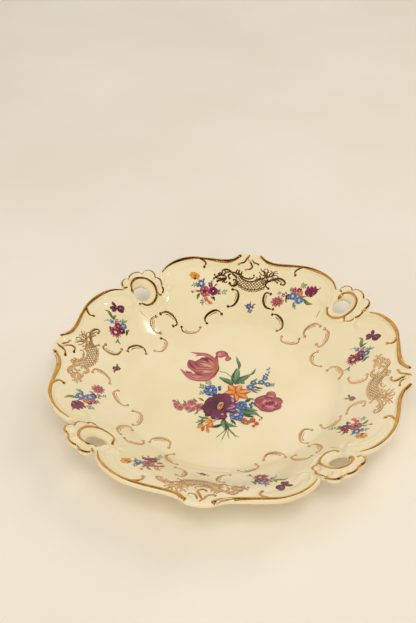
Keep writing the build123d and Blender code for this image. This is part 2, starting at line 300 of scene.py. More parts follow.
# ridges and hollows of the north quarter: line, height, half width, faded share of each end
quarterRelief = [
    ([(-45, 131), (-51, 133.6), (-58, 132.4), (-65, 128.4), (-71, 122.6), (-75.4, 115.5),
      (-76.4, 109.5), (-74.4, 105), (-70.4, 104.4), (-68.2, 107.4), (-70.6, 110)], 0.55, 1.2, 0.08),
    ([(-47.5, 128.8), (-54, 130.0), (-61, 127.8), (-67.4, 122.6), (-71.4, 116.2), (-72.6, 112)], 0.4, 1.1,
     0.15),
    ([(-46, 135), (-56, 134.9), (-66, 130.2), (-74, 122), (-78.6, 112), (-77.6, 104.4), (-71.6, 100.8),
      (-65.4, 104)], -0.6, 1.1, 0.12),
    ([(47, 130.6), (53, 132), (59, 130.6), (65.4, 126.6), (71.6, 120.4), (75.8, 113.4), (77.2, 107.2),
      (75.6, 102.2), (71.6, 101.2), (69.4, 104.2), (71.6, 107)], 0.55, 1.2, 0.08),
    ([(50, 128), (56.4, 127.8), (63, 124), (68.8, 117.8), (72.2, 111.4), (73.4, 107.8)], 0.4, 1.1, 0.15),
    ([(48, 133.6), (57, 132.9), (66, 128.8), (74.4, 120.4), (79.2, 110.2), (78.8, 101.6), (73, 97.4),
      (66.6, 100.4)], -0.6, 1.1, 0.12),
    ([(-40, 135.6), (-30, 136.3), (-21, 137.8), (-14.5, 141.4)], -0.55, 1.4, 0.2),
    ([(42, 134.8), (32, 135.9), (22, 137.0), (15, 140.8)], -0.55, 1.4, 0.2),
    ([(-0.4, 149.2), (-3.0, 144.6), (-5.4, 140.4), (-10.2, 138.6)], 0.7, 1.1, 0.1),
    ([(-1.4, 143.0), (1.4, 139.2), (2.9, 136.2), (0.8, 133.4), (-3.0, 133.4)], 0.7, 1.1, 0.1),
    ([(2.2, 144.4), (3.6, 141.2), (8.4, 139.9)], 0.6, 1.0, 0.1),
    ([(-7.6, 147.5), (-7.2, 143.6), (-9.6, 141.0)], 0.5, 1.2, 0.2),
    ([(5.6, 148.6), (7.0, 145.2), (9.8, 142.2)], 0.5, 1.2, 0.2),
    ([(0.6, 148.4), (0.2, 145.0), (1.6, 141.4)], -0.6, 1.1, 0.2),
    ([(-58, 73), (-43.1, 81.9), (-31.1, 89.1), (-20.6, 93.8), (-6.2, 95.9), (10.4, 93.9), (27.1, 91.8),
      (42, 84), (56, 75)], 0.22, 1.8, 0.15),
    ([(-4.6, 136.2), (-2.4, 138.6)], 0.45, 1.6, 0.3),
    ([(5.6, 134.0), (7.2, 137.0)], 0.4, 1.5, 0.3),
]
quarterRelief = [(smoothLine(points, 1.2), *rest) for points, *rest in quarterRelief]

handleScroll = smoothLine([(-103.4, 87.2), (-105.3, 92.5), (-102.2, 99.2), (-94.5, 102.5), (-86.0, 99.6),
                           (-81.3, 92.0), (-82.2, 84.0), (-87.0, 77.8), (-94.0, 77.0)], 0.8)
cornerRelief = [
    (handleScroll, 1.0, 1.6, 0.03),
    ([(-109.6, 98.4), (-105.6, 96.4)], -1.0, 1.0, 0.1),
    ([(-98.8, 109.2), (-97.4, 104.2)], -1.0, 1.0, 0.1),
    ([(-86.2, 109.2), (-88.4, 103.8)], -1.0, 1.0, 0.1),
    ([(-78.8, 101.2), (-82.0, 98.4)], -1.0, 1.0, 0.1),
    ([(-105.2, 104.6), (-101.2, 101.8)], 0.7, 1.5, 0.2),
    ([(-101.8, 107.4), (-98.6, 103.2)], -0.4, 0.9, 0.2),
    ([(-92.4, 111.6), (-92.8, 105.2)], 0.7, 1.7, 0.2),
    ([(-96.0, 110.2), (-95.4, 105.0)], -0.4, 0.9, 0.2),
    ([(-89.0, 110.4), (-90.4, 105.0)], -0.4, 0.9, 0.2),
    ([(-82.6, 105.8), (-85.6, 102.4)], 0.7, 1.5, 0.2),
    ([(-112.4, 92.4), (-108.4, 93.4), (-107.2, 90.2)], -0.7, 1.3, 0.2),
    ([(-107.4, 92.2), (-106.0, 97.4), (-101.6, 102.6), (-94.4, 105.6), (-86.6, 103.2), (-80.2, 97.4)], 0.45,
     1.0, 0.1),
    ([(-75.6, 99.6), (-75.0, 93.0), (-77.6, 84.6), (-82.8, 77.2), (-89.4, 72.6)], 0.55, 1.7, 0.25),
    ([(-78.6, 95.6), (-78.2, 90), (-80.6, 81.8), (-85.4, 75.4)], -0.5, 1.1, 0.25),
    ([(-99.0, 85.0), (-100.4, 80.6), (-99.4, 76.4), (-97.2, 73.8)], 0.6, 1.5, 0.3),
    ([(-72.6, 96.0), (-71.8, 89.0), (-75.0, 80.2), (-81.2, 73.4)], 0.35, 1.3, 0.3),
]
cornerRelief = [(smoothLine(points, 1.2), *rest) for points, *rest in cornerRelief]

bead = dict(height=1.15, halfWidth=1.8, squareness=1.6, rimFrom=120.0)
hole = dict(centre=(-95.4, 89.4), radius=7.6, flare=3.0, depth=2.2)
headroom = 0.3  # how far the moulding stays under the dish's full height


def showHeight(x, y):  # the side that shows: section, bead, moulding and the flares of the four holes
    x, y = np.asarray(x, float), np.asarray(y, float)
    height = bareHeight(x, y)
    qx, qy = folded(x, y, 0)
    away = np.full(x.shape, 1e9)
    rim = np.hypot(x, y) > bead["rimFrom"]
    for line in rimLines.values():
        away[rim] = np.minimum(away[rim], nearLine(qx[rim], qy[rim], line)[0])
    height += bead["height"] * np.exp(-((away / bead["halfWidth"]) ** 2) ** bead["squareness"])
    for line, rise, width, fade in quarterRelief:
        height += ridgeRelief(qx, qy, line, rise, width, fade)
    cx, cy = folded(x, y, -45)
    for line, rise, width, fade in cornerRelief:
        height += ridgeRelief(cx, cy, line, rise, width, fade)
    fromHole = np.hypot(cx - hole["centre"][0], cy - hole["centre"][1]) - hole["radius"]
    flare = np.clip(1 - fromHole / hole["flare"], 0, 1)
    return np.minimum(height - hole["depth"] * flare**2, dishHigh[2] / mm - headroom)


# the dish with its four handles, one continuous glazed body

lip = dict(inset=1.6, rows=10, square=0.72)
rimEdge = dict(
    west=[(-81.8, 109.0), (-82.9, 114.3), (-78.2, 124.2), (-69.0, 133.4), (-57, 139.2), (-42, 141.0),
          (-25, 142.2), (-16.4, 144.8), (-9.5, 149.9)],
    crest=(0, 151.3),
    east=[(9.5, 150.0), (16.4, 144.9), (26, 141.8), (43, 140.3), (57.6, 137.7), (71, 131.0),
          (81.3, 121.2), (86.4, 109.5)],
)
shellEdge = dict(
    notches=[(-109.5, 86.4), (-110.6, 98.9), (-98.8, 110.0), (-85.8, 109.8), (-81.8, 109.0)],
    crests=[(-115.2, 91.6), (-107.2, 106.8), (-92.2, 115.2), (-83.6, 110.1)],
)
joint = dict(radius=116.0, halfAngle=7.9)
meshStep = 1.14

north = joined(smoothLine(rimEdge["west"], meshStep),
               arcThrough(rimEdge["west"][-1], rimEdge["crest"], rimEdge["east"][0], meshStep),
               smoothLine(rimEdge["east"], meshStep))
shell = joined(*[arcThrough(a, c, b, meshStep) for a, c, b in
                 zip(shellEdge["notches"], shellEdge["crests"], shellEdge["notches"][1:])])
unit = joined(shell, north)
silhouette = np.vstack([turned(unit, quarter)[:-1] for quarter in range(4)])
unitCount, shellCount = len(unit) - 1, len(shell) - 1

ahead = np.roll(silhouette, -1, axis=0) - np.roll(silhouette, 1, axis=0)
ahead = sum(np.roll(ahead, k, axis=0) for k in (-1, 0, 1))
outward = np.column_stack([-ahead[:, 1], ahead[:, 0]])
outward /= np.hypot(*outward.T)[:, None]
inset = silhouette - lip["inset"] * outward


def jointLine():  # where the north-west handle meets the dish, from its right edge round to its left
    swings = [radians(45 + joint["halfAngle"] * k) for k in (1, 0, -1)]
    west, middle, east = [(-joint["radius"] * cos(a), joint["radius"] * sin(a)) for a in swings]
    entry = evenSteps(np.array([inset[shellCount], west]), meshStep)
    leaving = evenSteps(np.array([east, inset[0]]), meshStep)
    return joined(entry, arcThrough(west, middle, east, meshStep), leaving), len(entry) - 1


jointEdge, sideCount = jointLine()
innerRadius, rimHalfAngle = 98.0, 28.0
jointStart, jointEnd = 45 - joint["halfAngle"], 45 + joint["halfAngle"]
ringPoints, ringBearings = [], []
for quarter in range(4):
    start = quarter * unitCount + shellCount
    rimPart = np.array([inset[(start + k) % len(inset)] for k in range(unitCount - shellCount + 1)])
    jointPart = turned(jointEdge[::-1], quarter + 1)
    arcCount = len(jointEdge) - 1 - 2 * sideCount
    ringPoints += [rimPart[:-1], jointPart[:-1]]
    spans = [(-rimHalfAngle, rimHalfAngle, len(rimPart) - 1), (rimHalfAngle, jointStart, sideCount),
             (jointStart, jointEnd, arcCount), (jointEnd, 90 - rimHalfAngle, sideCount)]
    bearings = np.concatenate([np.linspace(low, high, count + 1)[:-1] for low, high, count in spans])
    ringBearings.append(np.radians(bearings + 90 * quarter))
ring = np.vstack(ringPoints)
bearing = np.concatenate(ringBearings)
around = np.column_stack([np.sin(bearing), np.cos(bearing)])


def mappedGrid(bm, columns, rows, place):  # a grid whose (column, row) corners are moved to place
    made = bmesh.ops.create_grid(bm, x_segments=columns, y_segments=rows, size=0.5)["verts"]
    at = np.array([vert.co[:] for vert in made]) + 0.5
    column = np.rint(at[:, 0] * columns).astype(int)
    row = np.rint(at[:, 1] * rows).astype(int)
    for vert, point in zip(made, place(column, row) * mm):
        vert.co = point
    return made


def onShow(x, y):
    return np.column_stack([x, y, showHeight(x, y)])


def onUnderside(x, y):
    return np.column_stack([x, y, bareHeight(x, y) - section["thickness"]])


def fanPoints(column, share, inner, outer):
    a, b = inner[column % len(inner)], outer[column % len(outer)]
    return a + (b - a) * share[:, None]


topRows, underRows, topGather = 42, 8, 0.25  # the top's rows gather towards the rim
wellRings = np.array([0.0, 40.0, 76.0, 80.0, 82.5, 84.5, 86.5, 88.5, 90.5, 92.5, 95.0, innerRadius])
underRings = np.array([0.0, 50.0, 78.0, 84.0, 90.0, innerRadius])


def topPlace(column, row):
    fan = np.clip((row - (len(wellRings) - 1)) / topRows, 0, 1)
    share = fan + topGather * np.sin(pi * fan) / pi
    flat = fanPoints(column, share, around * innerRadius, ring)
    centre = around[column % len(ring)] * wellRings[np.clip(row, 0, len(wellRings) - 1)][:, None]
    point = np.where((row < len(wellRings))[:, None], centre, flat)
    return onShow(*point.T)


def underPlace(column, row):
    share = np.clip((row - (len(underRings) - 1)) / underRows, 0, 1)
    flat = fanPoints(column, share, around * innerRadius, ring)
    centre = around[column % len(ring)] * underRings[np.clip(row, 0, len(underRings) - 1)][:, None]
    point = np.where((row < len(underRings))[:, None], centre, flat)
    return onUnderside(*point.T)


def lipPlace(column, row):
    k = column % len(inset)
    swing = (0.5 - row / lip["rows"]) * pi
    top = showHeight(*inset.T)[k]
    low = bareHeight(*inset.T)[k] - section["thickness"]
    out = lip["inset"] * np.abs(np.cos(swing)) ** lip["square"]
    out[(row == 0) | (row == lip["rows"])] = 0
    lift = np.sign(np.sin(swing)) * np.abs(np.sin(swing)) ** lip["square"]
    flat = inset[k] + outward[k] * out[:, None]
    return np.column_stack([flat, (top + low) / 2 + lift * (top - low) / 2])


def shellRing(quarter):
    rim = np.array([inset[(quarter * unitCount + k) % len(inset)] for k in range(shellCount + 1)])
    return joined(rim, turned(jointEdge, quarter))[:-1]


def holeRing(quarter, outer, radius):
    middle = turned([hole["centre"]], quarter)[0]
    away = outer - middle
    return middle + radius * away / np.hypot(*away.T)[:, None]


bm = bmesh.new()
mappedGrid(bm, len(ring), len(wellRings) - 1 + topRows, topPlace)
mappedGrid(bm, len(ring), len(underRings) - 1 + underRows, underPlace)
mappedGrid(bm, len(inset), lip["rows"], lipPlace)
shellRows, shellUnderRows, wallRows, wallBelly = 20, 6, 3, 0.05
for quarter in range(4):
    outer = shellRing(quarter)
    inner = holeRing(quarter, outer, hole["radius"])
    columns = len(outer)
    mappedGrid(bm, columns, shellRows, lambda c, r: onShow(*fanPoints(c, r / shellRows, inner, outer).T))
    mappedGrid(bm, columns, shellUnderRows,
               lambda c, r: onUnderside(*fanPoints(c, r / shellUnderRows, inner, outer).T))
    middle = turned([hole["centre"]], quarter)[0]
    holeTop, holeLow = onShow(*inner.T)[:, 2], onUnderside(*inner.T)[:, 2]
    mappedGrid(bm, columns, wallRows, lambda c, r: np.column_stack([
        inner[c % columns]
        - (inner[c % columns] - middle) * (wallBelly * np.sin(pi * r / wallRows))[:, None],
        holeTop[c % columns] * (1 - r / wallRows) + holeLow[c % columns] * r / wallRows]))
bmesh.ops.remove_doubles(bm, verts=bm.verts, dist=1e-6)
bmesh.ops.dissolve_degenerate(bm, edges=bm.edges, dist=1e-7)
bmesh.ops.recalc_face_normals(bm, faces=bm.faces)
openEdges = [edge for edge in bm.edges if not edge.is_manifold]
print("porcelain", len(bm.verts), "corners", len(bm.faces), "faces, open edges", len(openEdges))

quarters = ("north", "east", "south", "west")
corners = ("north_west", "north_east", "south_east", "south_west")


def finished(bm, name, nodes, slotName, finish=None):  # a mesh becomes the piece that stands for its nodes
    bmesh.ops.recalc_face_normals(bm, faces=bm.faces)
    for face in bm.faces:
        face.smooth = True
    mesh = bpy.data.meshes.new(name)
    bm.to_mesh(mesh)
    bm.free()
    piece = bpy.data.objects.new(name, mesh)
    bpy.context.scene.collection.objects.link(piece)
    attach(piece, "root")
    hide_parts(*nodes)
    mesh.materials.append(finish or finishes[slotName])
    return piece


glazeTree = BVHTree.FromBMesh(bm)
finished(bm, "porcelainDish", ["dish_body"] + [f"handle_{corner}" for corner in corners], "porcelain")

# the foot ring: its section spun about the dish's middle
foot = dict(profile=[(80.2, 3.9), (79.9, 1.9), (79.0, 0.6), (77.9, 0.0),
                     (76.5, 0.0), (75.3, 0.6), (74.5, 1.9), (74.2, 3.9)], steps=180)
bm = bmesh.new()
ringVerts = [bm.verts.new((x * mm, 0, z * mm)) for x, z in foot["profile"]]
ringEdges = [bm.edges.new(pair) for pair in zip(ringVerts, ringVerts[1:] + ringVerts[:1])]
bmesh.ops.spin(bm, geom=ringVerts + ringEdges, cent=(0, 0, 0), axis=(0, 0, 1), angle=tau,
               steps=foot["steps"], use_merge=True)
bmesh.ops.remove_doubles(bm, verts=bm.verts, dist=1e-6)
finished(bm, "footRing", ["foot_ring"], "foot_porcelain")
print("porcelain modelled")


def draped(flat):  # where plan points land on the glaze, and which way it faces there
    points, normals = np.empty((len(flat), 3)), np.empty((len(flat), 3))
    down, above = Vector((0, 0, -1)), dishHigh[2] + 0.01
    for k, (x, y) in enumerate(flat * mm):
        hit, normal, _, _ = glazeTree.ray_cast(Vector((x, y, above)), down)
        if hit is None:
            hit, normal, _, _ = glazeTree.find_nearest(Vector((x, y, dishHigh[2])))
        points[k], normals[k] = hit / mm, normal
    return points, normals


widthShapes = dict(
    petal=lambda u: np.sin(pi * u**1.3) ** 0.75,
    fat=lambda u: np.sin(pi * u) ** 0.5,
    leaf=lambda u: np.sin(pi * u**0.8) ** 0.95,
    round=lambda u: np.sqrt(np.clip(1 - (2 * u - 1) ** 2, 0, 1)),
    stem=lambda u: np.clip(8 * u, 0, 1) * np.clip(8 * (1 - u), 0, 1),
    quill=lambda u: (0.42 + 0.58 * np.sin(pi * u) ** 1.2) * np.clip(14 * u, 0, 1)
    * np.clip(14 * (1 - u), 0, 1),
)
strokeForm = dict(fullBodyFrom=0.6, buried=0.06, tipReach=1.15, edgeShare=0.75)


def stroke(bm, line, halfWidth, shape, lift, thick, across=8, paint=None):  # a closed, domed ribbon
    line = np.asarray(line, float)
    rows = len(line) - 1
    along = np.gradient(line, axis=0)
    along /= np.maximum(np.hypot(*along.T), 1e-9)[:, None]
    side = np.column_stack([-along[:, 1], along[:, 0]])
    share = np.linspace(0, 1, rows + 1)
    if isinstance(shape, str):
        half = halfWidth * widthShapes[shape](share)
    else:
        half = halfWidth * np.interp(share, *zip(*shape))
    half[[0, -1]] = 0
    made = bmesh.ops.create_grid(bm, x_segments=across, y_segments=rows, size=0.5)["verts"]
    at = np.array([vert.co[:] for vert in made]) + 0.5
    swing = tau * np.rint(at[:, 0] * across) / across
    row = np.rint(at[:, 1] * rows).astype(int)
    off = np.cos(swing)
    hit, normal = draped(line[row] + side[row] * (half[row] * off)[:, None])
    body = np.minimum(1, half[row] / strokeForm["fullBodyFrom"])
    dome = np.where(np.sin(swing) > 1e-6, lift + thick * body * (1 - off**4), lift)
    dome = np.where(np.sin(swing) < -1e-6, -strokeForm["buried"], dome) * (half[row] > 0)
    for vert, point in zip(made, (hit + normal * dome[:, None]) * mm):
        vert.co = point
    if paint is not None:
        colour, uv = bm.verts.layers.float_color["paint"], bm.loops.layers.uv["brush"]
        run = np.r_[0, np.cumsum(np.hypot(*np.diff(line, axis=0).T))] + paint["phase"]
        tone = np.clip(share[row] * strokeForm["tipReach"], 0, 1)[:, None]
        mixed = paint["base"] * (1 - tone) + paint["tip"] * tone
        rim = (strokeForm["edgeShare"] * np.abs(off) ** 3)[:, None]
        mixed = (mixed * (1 - rim) + paint["edge"] * rim) * paint["bright"]
        where = {}
        for vert, shade, u, v in zip(made, mixed, run[row], half[row] * off):
            vert[colour] = (*shade, 1.0)
            where[vert] = (u, v + paint["phase"])
        for face in {face for vert in made for face in vert.link_faces}:
            for loop in face.loops:
                loop[uv].uv = where[loop.vert]
    bmesh.ops.remove_doubles(bm, verts=made, dist=1e-6)


def knob(bm, x, y, radius, thick):
    line = np.column_stack([np.linspace(x - radius, x + radius, 8), np.full(8, y)])
    stroke(bm, line, radius, "round", 0.04, thick)


def parallel(line, offset):
    along = np.gradient(line, axis=0)
    along /= np.hypot(*along.T)[:, None]
    return line + offset * np.column_stack([-along[:, 1], along[:, 0]])


# rim gilding: a gold line on the rim's bead, swelling towards the crest knob, with a hook at each lobe
rimGilt = dict(
    left=dict(line="giltWest", hook="hookWest", half=1.45, knob=2.1,
              widths=[(0, 1.3), (0.1, 1.5), (0.2, 1.3), (0.4, 0.95), (0.75, 0.85), (0.97, 0.4), (1, 0.2)]),
    right=dict(line="giltEast", hook="hookEast", half=1.45, knob=1.7,
               widths=[(0, 1.0), (0.1, 1.05), (0.4, 0.95), (0.8, 0.85), (0.97, 0.4), (1, 0.2)]),
    hookHalf=1.15, hookKnob=1.45, hookWidths=[(0, 0.5), (0.3, 1), (0.8, 0.75), (1, 0.6)],
    lift=0.06, thick=0.22, knobThick=0.5, hookKnobThick=0.35,
)
for quarter, quarterName in enumerate(quarters):
    for sideName in ("left", "right"):
        side = rimGilt[sideName]
        bm = bmesh.new()
        line = turned(rimLines[side["line"]], quarter)
        hook = turned(rimLines[side["hook"]], quarter)
        stroke(bm, line, side["half"], side["widths"], rimGilt["lift"], rimGilt["thick"])
        stroke(bm, hook, rimGilt["hookHalf"], rimGilt["hookWidths"], rimGilt["lift"], rimGilt["thick"])
        knob(bm, *line[0], side["knob"], rimGilt["knobThick"])
        knob(bm, *hook[-1], rimGilt["hookKnob"], rimGilt["hookKnobThick"])
        finished(bm, f"rimGilding_{quarterName}_{sideName}", [f"rim_gilding_{quarterName}_{sideName}"],
                 "gilding")

# handle gilding: a gold edge round the shell and a C scroll that curls about the finger hole
handleGilt = dict(
    notches=[(-111.8, 88.1), (-109.4, 98.4), (-98.6, 108.8), (-86.2, 108.6), (-78.9, 101.4), (-77.4, 94.4)],
    crests=[(-114.1, 92.0), (-106.3, 105.9), (-92.3, 114.0), (-80.8, 106.8), (-76.5, 98.2)],
    curls=[[(-111.8, 88.1), (-110.2, 87.3), (-108.9, 88.2)], [(-77.4, 94.4), (-78.2, 92.8), (-79.6, 92.6)]],
    edgeHalf=0.85, edgeWidths=[(0, 0.7), (0.2, 1), (0.8, 1), (1, 0.7)], edgeThick=0.14,
    curlWidths=[(0, 0.8), (1, 0.8)], curlKnob=1.1, curlKnobThick=0.2,
    scrollHalf=1.2, scrollWidths=[(0, 0.9), (0.15, 0.85), (0.5, 1), (0.85, 0.75), (1, 0.7)],
    scrollThick=0.2, scrollKnobs=(1.6, 1.36), scrollKnobThicks=(0.35, 0.3), lift=0.06,
)
for corner, cornerName in enumerate(corners):
    bm = bmesh.new()
    arcs = [arcThrough(a, c, b, 0.9) for a, c, b in
            zip(handleGilt["notches"], handleGilt["crests"], handleGilt["notches"][1:])]
    for arc in arcs:
        stroke(bm, turned(arc, corner), handleGilt["edgeHalf"], handleGilt["edgeWidths"],
               handleGilt["lift"], handleGilt["edgeThick"])
    for curl in handleGilt["curls"]:
        line = turned(smoothLine(curl, 0.6), corner)
        stroke(bm, line, handleGilt["edgeHalf"], handleGilt["curlWidths"], handleGilt["lift"],
               handleGilt["edgeThick"])
        knob(bm, *line[-1], handleGilt["curlKnob"], handleGilt["curlKnobThick"])
    finished(bm, f"handleEdgeGilding_{cornerName}", [f"handle_edge_gilding_{cornerName}"], "gilding")
    bm = bmesh.new()
    line = turned(handleScroll, corner)
    stroke(bm, line, handleGilt["scrollHalf"], handleGilt["scrollWidths"], handleGilt["lift"],
           handleGilt["scrollThick"])
    for end, radius, thick in zip((line[0], line[-1]), handleGilt["scrollKnobs"],
                                  handleGilt["scrollKnobThicks"]):
        knob(bm, *end, radius, thick)
    finished(bm, f"handleScrollGilding_{cornerName}", [f"handle_scroll_gilding_{cornerName}"], "gilding")

# crown gilding: three loose gold strokes on the moulded crest
crownGilt = dict(
    strokes=[([(-0.4, 149.4), (-3.2, 144.4), (-5.6, 140.2), (-10.0, 138.7)], 1.05, 1.3),
             ([(-1.8, 144.4), (1.6, 139.4), (2.9, 136.2), (0.8, 133.6), (-2.8, 133.5)], 1.05, 1.25),
             ([(1.6, 145.4), (4.0, 141.0), (8.4, 139.8)], 0.85, 1.1)],
    widths=[(0, 0.3), (0.3, 1), (0.8, 0.8), (1, 0.6)], lift=0.06, thick=0.14, knobThick=0.2,
)
for quarter, quarterName in enumerate(quarters):
    bm = bmesh.new()
    for points, half, knobRadius in crownGilt["strokes"]:
        line = turned(smoothLine(points, 0.7), quarter)
        stroke(bm, line, half, crownGilt["widths"], crownGilt["lift"], crownGilt["thick"])
        knob(bm, *line[-1], knobRadius, crownGilt["knobThick"])
    finished(bm, f"crownGilding_{quarterName}", [f"crown_gilding_{quarterName}"], "gilding")
print("rim, handles and crests gilded")

# wall gilding: a chain of C scrolls round the well, each with two curled ends and a barb inside its belly,
# listed with the side of the line that its belly is on
wallGilt = dict(
    scrolls=[
        ([(-13.0, 115.2), (-8.0, 113.6), (-7.0, 108.0), (-10.0, 102.0), (-15.3, 99.4)], 1),
        ([(23.5, 113.2), (18.5, 113.6), (16.9, 108.0), (19.8, 102.0), (26.8, 99.2)], -1),
        ([(-20.2, 92.8), (-26.0, 94.8), (-32.0, 91.0), (-35.2, 85.5), (-33.2, 81.2)], -1),
        ([(-55.3, 71.5), (-52.5, 67.6), (-46.0, 66.4), (-39.8, 69.5), (-37.6, 75.6)], -1),
        ([(-75.5, 76.4), (-70.0, 80.2), (-63.0, 78.4), (-59.4, 73.4), (-62.0, 69.8)], 1),
        ([(-79.0, 72.4), (-81.8, 68.0), (-80.8, 62.2), (-76.8, 58.0), (-72.0, 58.6)], -1),
        ([(-70.5, 54.6), (-65.8, 52.6), (-64.2, 46.0), (-67.0, 38.6), (-73.2, 37.6)], 1),
        ([(-95.6, 27.0), (-94.4, 31.6), (-89.6, 36.4), (-83.4, 37.4), (-79.6, 33.0)], 1),
    ],
    half=1.2, lift=0.05, thick=0.1, knob=1.4, knobThick=0.12,
    barbOff=2.25, barbHalf=0.36, barbThick=0.08, barbWidths=[(0, 1.6), (0.15, 1.3), (0.4, 1), (1, 0.4)],
    barbFrom=0.2, barbTo=0.68,
    # how far the first two scrolls, the pair by the cartouche, slipped in each quarter's print
    slips=dict(north=(0.0, 0.0), east=(-1.6, 0.2), south=(0.0, 1.6), west=(-1.4, 0.3)),
)


def curledScroll(bm, points, quarter, side):
    line = smoothLine(points, 0.75)
    stroke(bm, turned(line, quarter), wallGilt["half"], "quill", wallGilt["lift"], wallGilt["thick"])
    for end, beyond in ((line[0], line[2]), (line[-1], line[-3])):
        step = (end - beyond) / np.hypot(*(end - beyond))
        belly = line[len(line) // 2] - end
        inward = turned([step], -1 if step[0] * belly[1] > step[1] * belly[0] else 1)[0]
        middle = turned([end + inward * 0.35 * wallGilt["knob"]], quarter)[0]
        knob(bm, *middle, wallGilt["knob"], wallGilt["knobThick"])
    first, last = int(wallGilt["barbFrom"] * len(line)), int(wallGilt["barbTo"] * len(line))
    barb = parallel(line, -side * wallGilt["barbOff"])[first:last]
    stroke(bm, turned(barb, quarter), wallGilt["barbHalf"], wallGilt["barbWidths"], wallGilt["lift"],
           wallGilt["barbThick"], across=6)


for quarter, quarterName in enumerate(quarters):
    bm = bmesh.new()
    slip = np.array(wallGilt["slips"][quarterName])
    for k, (points, side) in enumerate(wallGilt["scrolls"]):
        curledScroll(bm, np.array(points) + (slip if k < 2 else 0), quarter, side)
    finished(bm, f"scrollGilding_{quarterName}", [f"scroll_gilding_{quarterName}"], "gilding", printedGold)

